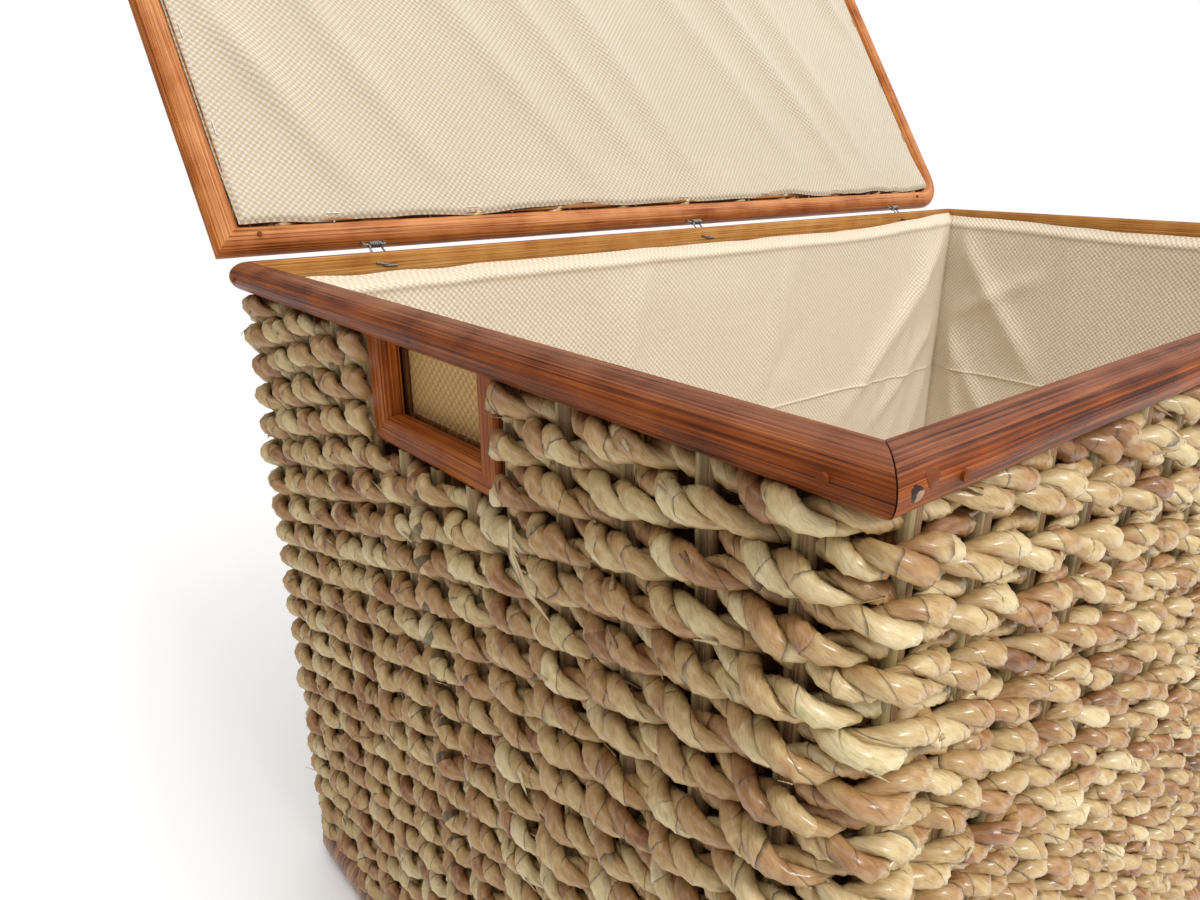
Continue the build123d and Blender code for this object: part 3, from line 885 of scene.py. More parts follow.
def addPole(skin, start, end, outward, shape, tone, rng, shifts, uneven, raised=up, gap=0.0):
    # sweeps a shape in (out, up) from start to end; shifts give how far each end slides per unit of out
    start, end = np.array(start, float), np.array(end, float)
    length = np.linalg.norm(end - start)
    forward = (end - start) / length
    t = np.linspace(0, 1, max(8, int(length / poleStep)))[:, None]
    shapeOut, shapeUp = shape.T[:, None]
    waver = uneven * (drift(rng, t * length, 0.09) + 0.5 * drift(rng, t * length, 0.03))
    waver *= smoothStep(np.minimum(t, 1 - t) * length, 0.0, 0.02)
    out = shapeOut * (1 - np.abs(waver) / thinning)
    slide = shapeOut * (shifts[0] * (1 - t) + shifts[1] * t)
    place = gap + t * (length - 2 * gap) + slide
    points = start + place[..., None] * forward + out[..., None] * outward
    points = points + (shapeUp + 0 * t)[..., None] * raised
    run = np.stack(np.broadcast_arrays(shapeOut, shapeUp, place + rng.uniform(0, 30)), -1)
    skin.tube(points, run, tone[None])


rimRng = np.random.default_rng(rimLook["seed"])
innerX, innerY = basket["halfX"] - depth, basket["halfY"] - depth
rimPieces = {}
for name, side, shifts, gap in (("front", -1, (-1, 1), rimLook["mitreGap"]), ("back", 1, (0, 0), 0.0)):
    skin = Skin()
    start, end = ((x, side * innerY, rimMiddle) for x in (-innerX, innerX))
    uneven = rimLook["uneven"]
    addPole(skin, start, end, yAxis * side, rimShape, rimTopWearAndSheen, rimRng, shifts, uneven, gap=gap)
    rimPieces[name] = skin.build(f"rim_cane_{name}", rimCane, "basket", [f"rim_{name}"])

# The end rails: mitred in front, and rounded off where they run past the back rail
shapeOut, shapeUp = rimShape.T[:, None]
for name, side in (("left", -1), ("right", 1)):
    skin = Skin()
    span = 2 * innerY
    t = np.linspace(0, 1, int(span / poleStep))[:, None]
    waver = rimLook["uneven"] * drift(rimRng, t * span, 0.08) * smoothStep(np.minimum(t, 1 - t), 0, 0.05)
    out = shapeOut * (1 - np.abs(waver) / thinning)
    y = -innerY + t * span - (shapeOut - rimLook["mitreGap"]) * (1 - t)
    straight = np.stack([side * innerX + side * out, y, rimMiddle + shapeUp + 0 * y], -1)
    swing = np.linspace(0, math.pi / 2, 9)[1:, None]
    overlap = 0.0002  # the bend starts this far inside, so that its inner edge keeps some width
    reach = shapeOut + overlap
    bendX = side * (innerX - overlap + reach * np.cos(swing))
    bendUp = rimMiddle + shapeUp + 0 * swing
    bend = np.stack([bendX, innerY + reach * np.sin(swing), bendUp], -1)
    lengths = np.concatenate([y + innerY, span + 0.009 * swing + 0 * reach])
    run = np.stack(np.broadcast_arrays(shapeOut, shapeUp, lengths + 7.0 * (side + 2)), -1)
    skin.tube(np.concatenate([straight, bend]), run, rimTopWearAndSheen[None])
    rimPieces[name] = skin.build(f"rim_cane_{name}", rimCane, "basket", [f"rim_{name}"])


def bareInside(piece, outward):
    # gives the faces that look inward their own finish
    mesh = piece.data
    mesh.materials.append(rimInside)
    away = Vector(outward)
    for face in mesh.polygons:
        if face.normal @ away < -0.8:
            face.material_index = 1


def addRimMark(name, x, z, size, proud, colour):
    # a small round mark laid over the front rail's face
    face = rimShape[rimShape[:, 0] > 0.5 * depth]
    face = face[np.argsort(face[:, 1])]
    radius, swing = np.meshgrid(np.linspace(1, 0.05, 6), np.arange(16) / 16 * tau, indexing="ij")
    shape = 1 + 0.10 * np.sin(3 * swing + 1) + 0.06 * np.sin(5 * swing)
    rise = z - rimMiddle + radius * shape * size[1] * np.sin(swing)
    out = np.interp(rise, face[:, 1], face[:, 0]) + proud * (1 - radius**2) - 0.0001
    along = x + radius * shape * size[0] * np.cos(swing)
    points = np.stack([along, -innerY - out, rimMiddle + rise], -1)
    skin = Skin()
    skin.grid(points, points, 0.5)
    skin.cap(points[-1], points[-1], 0.5, True)
    finish, tree, principled = newMaterial(name, {"Roughness": 0.5, "Specular IOR Level": 0.2})
    grain = noise(tree, attribute(tree, "run", "Vector"), 1600.0, 2.0)
    dark = tuple(0.45 * part for part in colour)
    connect(tree, principled, Base_Color=mixColour(tree, grain, dark, colour))
    skin.build(name, finish, "basket")


# A knot and a filled nail hole beside the left-hand corner
rimMarks = dict(
    rim_knot=dict(x=-0.3850, z=0.4338, size=(0.0028, 0.0022), proud=0.00025, colour=(0.200, 0.050, 0.010)),
    rim_nail_hole=dict(x=-0.3922, z=0.4318, size=(0.0025, 0.0021), proud=0.00018, colour=(0.040, 0.012, 0.005)),
    rim_filler=dict(x=-0.3910, z=0.4310, size=(0.0019, 0.0016), proud=0.00040, colour=(0.420, 0.270, 0.160)),
)
for name, mark in rimMarks.items():
    addRimMark(name, **mark)

for name, outward in (("front", -yAxis), ("back", yAxis), ("left", -xAxis), ("right", xAxis)):
    bareInside(rimPieces[name], outward)
print("rim made")

# Hand-hold frames, backing and floor keep their CAD shape
for side in ("left", "right"):
    nodes[f"window_posts_{side}"].data.materials[0] = postCane
    nodes[f"window_sill_{side}"].data.materials[0] = sillCane
for side in ("front", "back", "left", "right"):
    nodes[f"backing_{side}"].data.materials[0] = reedUpright
nodes["bottom_panel"].data.materials[0] = reedLengthways
nodes["lid_backing"].data.materials[0] = reedLengthways


def makeSteel(name, tint, rust, metallic=1.0, shine=0.5):
    material, tree, principled = newMaterial(name, {"Metallic": metallic, "Specular IOR Level": shine})
    place = put(tree, "ShaderNodeTexCoord").outputs["Object"]
    spots = noise(tree, place, 900.0, 4.0, 0.6)
    connect(
        tree,
        principled,
        Base_Color=tinted(tree, tint, (0.120, 0.055, 0.025), spread(tree, spots, 0.5, 0.68), rust),
        Roughness=spread(tree, spots, 0.3, 0.7, 0.30, 0.62),
        Normal=bump(tree, noise(tree, place, 4000.0, 2.0), 0.00015),
    )
    return material


wireSteel = makeSteel("wireSteel", (0.24, 0.23, 0.21), 0.7)
nailSteel = makeSteel("nailSteel", (0.170, 0.036, 0.006), 0.4, 0.0, 0.08)
stapleSteel = makeSteel("stapleSteel", (0.50, 0.46, 0.40), 0.6)
metalNodes = dict(
    hinge_pins=wireSteel,
    rim_nails=nailSteel,
    lid_nails=nailSteel,
    lining_staples=stapleSteel,
    lid_staples=stapleSteel,
)
for name, finish in metalNodes.items():
    nodes[name].data.materials[0] = finish

# Base: poles wrapped in strips of glossy cane

wrapLook = dict(
    strip=0.0047,
    dome=0.0006,
    sides=24,
    step=0.0012,
    corner=0.017,
    colours=[
        (0.30, (0.075, 0.024, 0.008)),
        (0.45, (0.220, 0.080, 0.022)),
        (0.58, (0.400, 0.170, 0.050)),
        (0.72, (0.520, 0.290, 0.120)),
    ],
    lineColour=(0.09, 0.03, 0.012),
    gapShadeColour=(0.02, 0.01, 0.005),
)
poleRadius = basket["poleTop"] / 2
baseLoop = loopTable(basket["halfX"] - poleRadius, basket["halfY"] - poleRadius, wrapLook["corner"])
s = np.linspace(0, baseLoop["total"], int(baseLoop["total"] / wrapLook["step"]), endpoint=False)
centre, outward, _ = onLoop(baseLoop, s)
theta = np.arange(wrapLook["sides"]) / wrapLook["sides"] * tau
turns = round(baseLoop["total"] / wrapLook["strip"])
across = (s[:, None] / baseLoop["total"] * turns + theta[None] / tau) % 1.0
radius = poleRadius - wrapLook["dome"] * (2 * np.abs(across - 0.5)) ** 3
centre[:, 2] = poleRadius
points = centre[:, None] + (radius * np.cos(theta))[..., None] * outward[:, None]
points = points + (radius * np.sin(theta))[..., None] * up
run = np.stack(np.broadcast_arrays(np.cos(theta)[None], np.sin(theta)[None], s[:, None]), -1)
skin = Skin()
skin.tube(points, run, across, closed=True)


def makeWrap():
    material, tree, principled = newMaterial("wrappedCane", {"Coat Weight": 0.5, "Coat Roughness": 0.15})
    x, y, z = splitVector(tree, attribute(tree, "run", "Vector"))
    angle = calc(tree, "DIVIDE", calc(tree, "ARCTAN2", y, x), tau)
    along = calc(tree, "ADD", calc(tree, "DIVIDE", z, baseLoop["total"] / turns), angle)
    strip = calc(tree, "FLOOR", along)
    part = calc(tree, "SUBTRACT", along, strip)  # 0 to 1 across one strip
    place = joinVector(tree, calc(tree, "SUBTRACT", strip, angle), calc(tree, "MULTIPLY", part, 0.4), 0.0)
    fine = noise(tree, vectorCalc(tree, "MULTIPLY", place, (3.0, 40.0, 1.0)), 1.0, 3.0)
    colour = ramp(tree, noise(tree, place, 0.9, 2.0), wrapLook["colours"])
    colour = tinted(tree, colour, wrapLook["lineColour"], spread(tree, fine, 0.52, 0.7), 0.4)
    # painted shade in the grooves between neighbouring strips
    gap = calc(tree, "MAXIMUM", spread(tree, part, 0.0, 0.09, 1.0, 0.0), spread(tree, part, 0.91, 1.0))
    connect(
        tree,
        principled,
        Base_Color=tinted(tree, colour, wrapLook["gapShadeColour"], gap, 0.85),
        Roughness=spread(tree, fine, 0.3, 0.7, 0.22, 0.42),
        Normal=bump(tree, fine, 0.0003),
    )
    return material


baseNodes = [f"base_rail_{side}" for side in ("front", "back", "left", "right")]
skin.build("wrapped_base", makeWrap(), "basket", baseNodes)
print("base wrapped")

# Cloth of the linings: cream with a small raised diamond figure


def buildFigureGroup():
    group, given, result = newGroup(
        "diamondFigure", "Vector", {"Repeat": 0.0036}, ("Figure", "Thread", "Cloud", "Slub")
    )
    place = given["Vector"]
    wander = put(group, "ShaderNodeTexNoise", {"Vector": place, "Scale": 9.0, "Detail": 1.0}).outputs["Color"]
    wander = vectorCalc(group, "MULTIPLY", wander, (0.006, 0.006, 0.006))
    x, y, _ = splitVector(group, vectorCalc(group, "ADD", place, wander))
    turn = calc(group, "DIVIDE", tau, given["Repeat"])
    a, b = calc(group, "MULTIPLY", x, turn), calc(group, "MULTIPLY", y, turn)
    dots = calc(group, "MULTIPLY", calc(group, "COSINE", a), calc(group, "COSINE", b))
    warp, weft = (calc(group, "SINE", calc(group, "MULTIPLY", part, 5.0)) for part in (a, b))
    slub = vectorCalc(group, "MULTIPLY", place, (9.0, 420.0, 1.0))
    putOut(
        group,
        result,
        Figure=spread(group, dots, -0.45, 0.45),
        Thread=spread(group, calc(group, "MULTIPLY", warp, weft), -1.0, 1.0),
        Cloud=noise(group, place, 14.0, 3.0, 0.6),
        Slub=noise(group, slub, 1.0, 2.0, 0.6),
    )
    return group


diamondFigure = buildFigureGroup()


def makeCloth(name, ground, raised, worn, seamAndShadeColour):
    shader = {"Sheen Weight": 0.25, "Sheen Roughness": 0.4, "Specular IOR Level": 0.3}
    material, tree, principled = newMaterial(name, shader)
    values = {"Vector": attribute(tree, "run", "Vector"), "Repeat": 0.0046}
    figure, thread, cloud, slub = useGroup(tree, diamondFigure, values).outputs
    colour = mixColour(tree, figure, ground, raised)
    colour = tinted(tree, colour, worn, spread(tree, cloud, 0.40, 0.75), 0.30)
    colour = tinted(tree, colour, worn, spread(tree, slub, 0.52, 0.72), 0.45)
    # tone carries the seam and stitch lines and painted shade at corners and edges
    connect(
        tree,
        principled,
        Base_Color=tinted(tree, colour, seamAndShadeColour, attribute(tree, "tone", "Fac"), 0.6),
        Roughness=spread(tree, figure, 0.0, 1.0, 0.62, 0.48),
        Normal=bump(tree, weighted(tree, figure, 0.9, thread, 0.15), 0.00045),
    )
    return material


# one cloth in two copies: the lining's copy is lighter, with painted light inside the basket, and the lid's
# copy darker, with painted shade
litLiningCloth = makeCloth(
    "litLiningCloth",
    ground=(0.655, 0.535, 0.375),
    raised=(0.790, 0.720, 0.605),
    worn=(0.700, 0.600, 0.455),
    seamAndShadeColour=(0.400, 0.285, 0.165),
)
shadedLidCloth = makeCloth(
    "shadedLidCloth",
    ground=(0.450, 0.350, 0.222),
    raised=(0.585, 0.532, 0.440),
    worn=(0.490, 0.410, 0.300),
    seamAndShadeColour=(0.330, 0.240, 0.140),
)
# golden-brown cloth back with painted shade of the deep hand-hold
holdBackAndShadeCloth = makeCloth(
    "holdBackAndShadeCloth",
    ground=(0.500, 0.270, 0.075),
    raised=(0.680, 0.430, 0.150),
    worn=(0.560, 0.330, 0.100),
    seamAndShadeColour=(0.400, 0.210, 0.060),
)

liningLook = dict(
    cell=0.0055,
    hemDrop=0.0125,  # from the rim's top to the hem
    hemWidth=0.011,
    hemInset=0.0162,  # from the rim's outer face to the cloth at the hem
    hang=0.0242,  # and to the cloth below it
    leastHem=0.0160,  # the least that these two may be
    leastHang=0.0230,
    seamShare=0.60,  # of the basket's height, where the seam runs
    seed=17,
)
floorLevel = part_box("lining_floor")[1].z
liningX, liningY = basket["halfX"] - liningLook["hang"], basket["halfY"] - liningLook["hang"]


def foldHeight(u, v, folds):
    # soft ridges along straight lines from (u0, v0) to (u1, v1)
    total = np.zeros_like(u)
    for u0, v0, u1, v1, width, height in folds:
        line = np.array((u1 - u0, v1 - v0))
        length = np.hypot(*line)
        du, dv = u - u0, v - v0
        along = (du * line[0] + dv * line[1]) / length**2
        off = (du * line[1] - dv * line[0]) / length
        fade = smoothStep(along, -0.08, 0.25) * (1 - smoothStep(along, 0.7, 1.1))
        total += height * fade / (1 + (off / width) ** 2) ** 1.5
    return total


def randomFolds(rng, count, width, height, middle=-1.2, sway=0.5):
    folds = []
    for _ in range(count):
        u, v = rng.uniform(-0.48, 0.48) * width, rng.uniform(0.1, 0.95) * height
        angle = middle + rng.normal(0, sway)
        length = rng.uniform(0.10, 0.30)
        end = (u + length * math.cos(angle), v + length * math.sin(angle))
        folds.append((u, v, *end, rng.uniform(0.006, 0.016), rng.uniform(-0.0028, 0.0050)))
    return folds


def sheetRun(u, v):
    return np.stack([u, v, 0 * u], -1)


def wallDrops(hemTop, seamLevel):
    # how far below the hem each row of points lies: close together at the hem and at the seam
    rows = int((hemTop - floorLevel) / liningLook["cell"])
    atHem = np.linspace(0, 0.022, 9)[:-1]
    below = np.linspace(0.022, hemTop - floorLevel, rows)
    atSeam = hemTop - seamLevel + np.linspace(-0.0021, 0.0021, 7)
    return np.sort(np.concatenate([atHem, below, atSeam]))


def wallLining(wall, halfSpan, across, outward, outerDistance, folds, rng, riseOf):
    # outerDistance is from the middle of the basket to the rim's outer face on this wall
    look = liningLook
    hemTop = basket["top"] - look["hemDrop"]
    seamLevel = look["seamShare"] * basket["top"]
    cols = np.linspace(-halfSpan, halfSpan, int(2 * halfSpan / look["cell"]))
    u, drop = np.meshgrid(cols, wallDrops(hemTop, seamLevel))
    v = hemTop - drop  # height of a point before the hem waves
    edge = halfSpan - np.abs(u)
    free = smoothStep(edge, 0.0, 0.03) * smoothStep(v - floorLevel, 0.0, 0.03)
    fall = smoothStep(drop, 0.0005, 0.0085)
    seam = np.exp(-(((v - seamLevel) / 0.0011) ** 2))

    # how far the cloth lies inside the rim's outer face
    inset = look["hemInset"] + (look["hang"] - look["hemInset"]) * fall
    place = cols + halfSpan
    belowHem = smoothStep(drop, 0.01, 0.05)
    nearHem = smoothStep(drop, 0.0, 0.01) * (1 - smoothStep(drop, 0.05, 0.16))
    soft = 0.0011 * drift(rng, place, 0.07)[None] * belowHem
    soft = soft + 0.0008 * drift(rng, place, 0.028)[None] * nearHem
    inset = inset + free * (soft + foldHeight(u, v, folds) + 0.0014 + 0.0016 * seam)
    inset = np.maximum(inset, np.where(drop > 0.0075, look["leastHang"], look["leastHem"]))
    inset = inset + 0.0006 * smoothStep(-drop, -look["hemWidth"] - 0.001, -look["hemWidth"] + 0.001)
    inset = inset - 0.0010 * smoothStep(-drop, -0.0016, 0.0)

    wave = 0.0006 * drift(rng, place, 0.03)[None] * (1 - smoothStep(drop, 0.0, 0.02))
    level = v + riseOf(u) * (1 - smoothStep(drop, 0.0, 0.05)) + wave
    wide = 1 + (look["hang"] - look["hemInset"]) / halfSpan * (1 - fall)
    points = (u * wide)[..., None] * across + (outerDistance - inset)[..., None] * outward
    points = points + level[..., None] * up

    # darker along the hem's stitches and the seam, with painted shade in the corners and under the rim
    dark = 0.8 * np.exp(-(((drop - look["hemWidth"]) / 0.0009) ** 2)) + 0.6 * seam
    dark = dark + 0.5 * smoothStep(-edge, -0.003, 0.0) + 0.5 * (1 - smoothStep(drop, 0.004, 0.0085))
    run = sheetRun(u, v)
    if np.dot(np.cross(across, up), outward) > 0:
        points, run, dark = points[:, ::-1], run[:, ::-1], dark[:, ::-1]
    skin = Skin()
    skin.grid(points[::-1], run[::-1], dark[::-1], closedRound=False)
    piece = skin.build(f"lining_cloth_{wall}", litLiningCloth, "basket", [f"lining_{wall}"])


def cornerRise(u):
    return 0.008 * smoothStep(u, 0.20, 0.37)


def endRise(u):
    return 0.006 * smoothStep(u, 0.02, 0.20)


def noRise(u):
    return 0 * u


# Folds that can be told apart, as (u0, v0, u1, v1, width, height); the others are strewn
liningRng = np.random.default_rng(liningLook["seed"])
backFolds = randomFolds(liningRng, 26, 2 * liningX, basket["top"], -1.9, 0.5) + [
    (0.372, 0.425, 0.20, 0.23, 0.012, 0.0085),
    (0.372, 0.330, 0.24, 0.20, 0.010, 0.0060),
    (0.368, 0.290, 0.30, 0.12, 0.010, 0.0050),
    (0.330, 0.425, 0.29, 0.24, 0.009, 0.0060),
    (0.10, 0.420, 0.06, 0.22, 0.010, 0.0050),
    (-0.08, 0.425, -0.12, 0.25, 0.012, 0.0050),
]
rightFolds = randomFolds(liningRng, 14, 2 * liningY, basket["top"], -1.3, 0.5) + [
    (0.205, 0.425, 0.09, 0.27, 0.010, 0.0075),
    (0.208, 0.320, 0.10, 0.16, 0.010, 0.0055),
    (0.205, 0.360, 0.17, 0.18, 0.007, 0.0050),
]
halfX, halfY, top = basket["halfX"], basket["halfY"], basket["top"]
wallLining("back", liningX, xAxis, yAxis, halfY, backFolds, liningRng, cornerRise)
frontFolds = randomFolds(liningRng, 22, 2 * liningX, top)
wallLining("front", liningX, xAxis, -yAxis, halfY, frontFolds, liningRng, noRise)
wallLining("right", liningY, yAxis, xAxis, halfX, rightFolds, liningRng, endRise)
leftFolds = randomFolds(liningRng, 14, 2 * liningY, top)
wallLining("left", liningY, yAxis, -xAxis, halfX, leftFolds, liningRng, noRise)

# A second, darker layer behind each hand-hold: the golden back of the lining, with the hold's shade painted
# into its colour
holdLook = dict(halfWidth=0.050, low=0.380, high=0.4205, inset=0.02275, crease=0.0001)
for name, side in (("left", -1), ("right", 1)):
    acrossHold = np.linspace(-holdLook["halfWidth"], holdLook["halfWidth"], 40)
    u, v = np.meshgrid(acrossHold, np.linspace(holdLook["low"], holdLook["high"], 18), indexing="ij")
    out = halfX - holdLook["inset"] + holdLook["crease"] * np.sin(u * 190 + v * 240)
    skin = Skin()
    skin.grid(np.stack([side * out, u, v], -1), sheetRun(u, v), 0.0, closedRound=False)
    holdFacing = skin.build(f"hold_facing_{name}", holdBackAndShadeCloth, "basket")

# Floor of the lining, lying slack on the panel
spanX, spanY = np.linspace(-liningX, liningX, 120), np.linspace(-liningY, liningY, 72)
u, v = np.meshgrid(spanX, spanY, indexing="ij")
edge = np.minimum(liningX - np.abs(u), liningY - np.abs(v))
rise = foldHeight(u, v, randomFolds(liningRng, 26, 2 * liningX, 0.3, 0.4, 1.2)) + 0.0016
rise = floorLevel - 0.0009 + np.maximum(rise, 0) * smoothStep(edge, 0, 0.03)
skin = Skin()
# painted shade along the edges, where the floor meets the walls
skin.grid(np.stack([u, v, rise], -1), sheetRun(u, v), 0.5 * smoothStep(-edge, -0.004, 0), closedRound=False)
floorCloth = skin.build("lining_cloth_floor", litLiningCloth, "basket", ["lining_floor"])
print("linings hung")

# Lid: its own plane, with local y back to the hinges and local z out of its top
openAngle = math.radians(hinge["range_deg"][1])
lidOrigin = np.array(hinge["pos_m"], float)
lidX = np.array((1.0, 0, 0))
lidZ = np.array((0, math.sin(openAngle), math.cos(openAngle)))
lidY = np.cross(lidZ, lidX)


def onLid(*place):
    x, y, z = (np.asarray(part)[..., None] for part in place)
    return lidOrigin + x * lidX + y * lidY + z * lidZ


def inLid(node):
    local = cadPoints(node) - lidOrigin
    local = np.stack([local @ lidX, local @ lidY, local @ lidZ], -1)
    return local.min(0), local.max(0)


railLow, railHigh = inLid("lid_rail_left")
poleR = (railHigh[2] - railLow[2]) / 2
lidRise = (railHigh[2] + railLow[2]) / 2
lidBack, lidFront = railHigh[1] - poleR, railLow[1] + poleR
lidSide = -railLow[0] - poleR
lidMiddle = (lidBack + lidFront) / 2
lidLook = dict(bend=0.024, tail=0.005, sides=28, uneven=0.00020, seed=21)  # tail: straight past a bend
lidRng = np.random.default_rng(lidLook["seed"])

ringAngle = np.arange(lidLook["sides"]) / lidLook["sides"] * tau
roundShape = np.stack([poleR * np.cos(ringAngle), poleR * np.sin(ringAngle)], -1)
# the side of each lid pole that faces up and forward, lightened with wear and a painted highlight
roundWearAndHighlight = 0.55 * smoothStep(-np.sin(ringAngle), 0.5, 1.0)
straightEnd = lidSide - lidLook["bend"] - lidLook["tail"]
lidPoles = (
    ("back", (-lidSide, lidBack), (straightEnd, lidBack), lidY, (-1, 0)),
    ("front", (-lidSide, lidFront), (straightEnd, lidFront), -lidY, (-1, 0)),
    ("left", (-lidSide, lidFront), (-lidSide, lidBack), -lidX, (-1, 1)),
)
for name, start, end, outward, shifts in lidPoles:
    skin = Skin()
    start, end = onLid(*start, lidRise), onLid(*end, lidRise)
    addPole(skin, start, end, outward, roundShape, roundWearAndHighlight, lidRng, shifts, lidLook["uneven"], lidZ)
    skin.build(f"lid_cane_{name}", lidCane, "lid", [f"lid_rail_{name}"])

# The right-hand pole, bent round at both ends
bend = lidLook["bend"]
quarter = np.linspace(-math.pi / 2, 0, 14)
bendX, bendY = lidSide - bend + bend * np.cos(quarter), bend + bend * np.sin(quarter)
frontBend = np.stack([bendX, lidFront + bendY], -1)
backBend = np.stack([bendX, lidBack - bendY], -1)[::-1]
straightY = np.linspace(lidFront + bend, lidBack - bend, 66)[1:-1]
straight = np.stack([0 * straightY + lidSide, straightY], -1)
route = [[(straightEnd, lidFront)], frontBend, straight, backBend, [(straightEnd, lidBack)]]
route = np.concatenate(route)
forward = unit(np.gradient(route, axis=0))
sideways = np.stack([forward[:, 1], -forward[:, 0]], -1)
along = np.concatenate([[0], np.cumsum(np.linalg.norm(np.diff(route, axis=0), axis=1))])
place = route[:, None] + sideways[:, None] * roundShape[None, :, :1]
points = onLid(place[..., 0], place[..., 1], lidRise + roundShape[None, :, 1] + 0 * place[..., 0])
run = np.stack(np.broadcast_arrays(*roundShape.T[:, None], along[:, None] + 40.0), -1)
skin = Skin()
skin.tube(points, run, roundWearAndHighlight[None])
skin.build("lid_cane_right", lidCane, "lid", ["lid_rail_right"])

# Ropes over the lid, in pairs of rows that turn back at the rails
lidStakes = stakeCentres("lid_stakes", 0)
weaveLow, weaveHigh = inLid("lid_weave")
lidRopeRise = (weaveLow[2] + weaveHigh[2]) / 2
lidWeaveLook = dict(
    turnInset=0.0085,  # from the weave's ends to the middle of the last turns
    turnReach=0.0055,
    edgeGap=0.0035,  # from the weave's sides to the middle of the outer rows
)
turnPlace = weaveHigh[0] - lidWeaveLook["turnInset"]
lidKnots = np.concatenate([[-turnPlace], lidStakes, [turnPlace]])
lastNumber = len(lidKnots) - 1
weaveSpan = weaveHigh[1] - weaveLow[1]
lidRows = int((weaveSpan - 0.004) / rope["rowPitch"]) // 2 * 2
lidPitch = (weaveSpan - 2 * lidWeaveLook["edgeGap"]) / (lidRows - 1)


def lidRow(x, y, row, rng):
    number = np.interp(x, lidKnots, np.arange(len(lidKnots)))
    wave = np.cos(math.pi * (number + row))
    window = smoothStep(np.minimum(number, lastNumber - number), 0, 1.5)
    shift = window * 0.0006 * drift(rng, x + 1, 0.045)
    centre = onLid(x, y + shift, lidRopeRise + rope["lobe"] * wave)
    return dict(
        centre=centre,
        outward=np.broadcast_to(lidZ, centre.shape),
        side=np.broadcast_to(lidY, centre.shape),
        angle=tau * number + math.pi / 2 + window * 0.45 * drift(rng, x + 1, 0.055),
        squeeze=rope["squeeze"] + (1 - rope["squeeze"]) * wave * wave,
    )


def lidTurn(number, row, pair, way):
    face = 1 if (number + row) % 2 == 0 else -1
    swing = np.linspace(0, math.pi, 11)[1:-1]
    cosine, sine = np.cos(swing), np.sin(swing)
    x = lidKnots[number] + way * lidWeaveLook["turnReach"] * sine
    y = pair[0] + (pair[1] - pair[0]) * (0.5 - 0.5 * cosine)
    centre = onLid(x, y, lidRopeRise + face * rope["lobe"] * cosine)
    return dict(
        centre=centre,
        outward=lidZ * face * cosine[:, None] + way * lidX * sine[:, None],
        side=np.broadcast_to(lidY, centre.shape),
        angle=math.pi / 2 + face * way * tau * swing / math.pi,
        squeeze=np.full(len(swing), rope["turnSqueeze"]),
    )


ropeCount = len(ropeEnds)
thirds = [0, lidRows // 6 * 2, lidRows // 3 * 2, lidRows]
for name, first, last in zip(("back", "middle", "front"), thirds, thirds[1:]):
    skin = Skin()
    for row in range(first, last, 2):
        pair = [weaveHigh[1] - lidWeaveLook["edgeGap"] - lidPitch * (row + step) for step in (0, 1)]
        runs = [
            lidRow(evenRun(-turnPlace, turnPlace), pair[0], row, lidRng),
            lidTurn(lastNumber, row, pair, 1),
            lidRow(evenRun(turnPlace, -turnPlace), pair[1], row + 1, lidRng),
            lidTurn(0, row + 1, pair[::-1], -1),
        ]
        addRope(skin, joinRuns(runs), lidRng)
    skin.build(f"lid_ropes_{name}", leafRope, "lid", ["lid_weave"] if name == "back" else ())
skin = Skin()
for spot in ropeEnds[ropeCount:]:
    if (spot[0] - lidOrigin) @ lidZ > lidRopeRise:
        addFray(skin, spot, lidRng)
skin.build("lid_leaf_ends", leafRope, "lid")
stakesLow, stakesHigh = inLid("lid_stakes")
skin = Skin()
for x in lidStakes:
    base = onLid(x, stakesLow[1], (stakesLow[2] + stakesHigh[2]) / 2)
    addStake(skin, base, lidX, lidZ, lidY, stakesHigh[1] - stakesLow[1], lidRng)
skin.build("lid_cane_stakes", stakeCane, "lid", ["lid_stakes"])
print("lid woven:", lidRows, "rows")

# Lid lining: stapled by its turned edge, with soft folds that run down from the front

lidClothLook = dict(cell=0.0055, crowd=0.96, waist=0.1068, scallop=0.0018, puff=0.0028, seed=33)
clothLow, clothHigh = inLid("lid_lining")
clothRng = np.random.default_rng(lidClothLook["seed"])


def crowded(count):
    # from -1 to 1, closer together near the turned edge
    reach = math.pi / 2 * lidClothLook["crowd"]
    return np.sin(np.linspace(-1, 1, count) * reach) / math.sin(reach)


cols, rows = (int((clothHigh[i] - clothLow[i]) / lidClothLook["cell"]) for i in (0, 1))
spanX, spanY = clothHigh[0] + 0.001, (clothHigh[1] - clothLow[1]) / 2 + 0.001
u, v = np.meshgrid(crowded(cols) * spanX, crowded(rows) * spanY, indexing="ij")
fromSide = spanY - np.abs(v)
edge = np.minimum(spanX - np.abs(u), fromSide)
free = smoothStep(edge, 0.0, 0.05)
diagonals = []
for x in np.linspace(-0.50, 0.30, 10):
    end = x + 0.17 + 0.10 * clothRng.random()
    diagonals.append((x, -0.24, end, 0.225, clothRng.uniform(0.009, 0.020), clothRng.uniform(0.0055, 0.0100)))
ridge = foldHeight(u, v, diagonals) + 0.0006 * drift(clothRng, u + v * 0.4 + 2, 0.05)
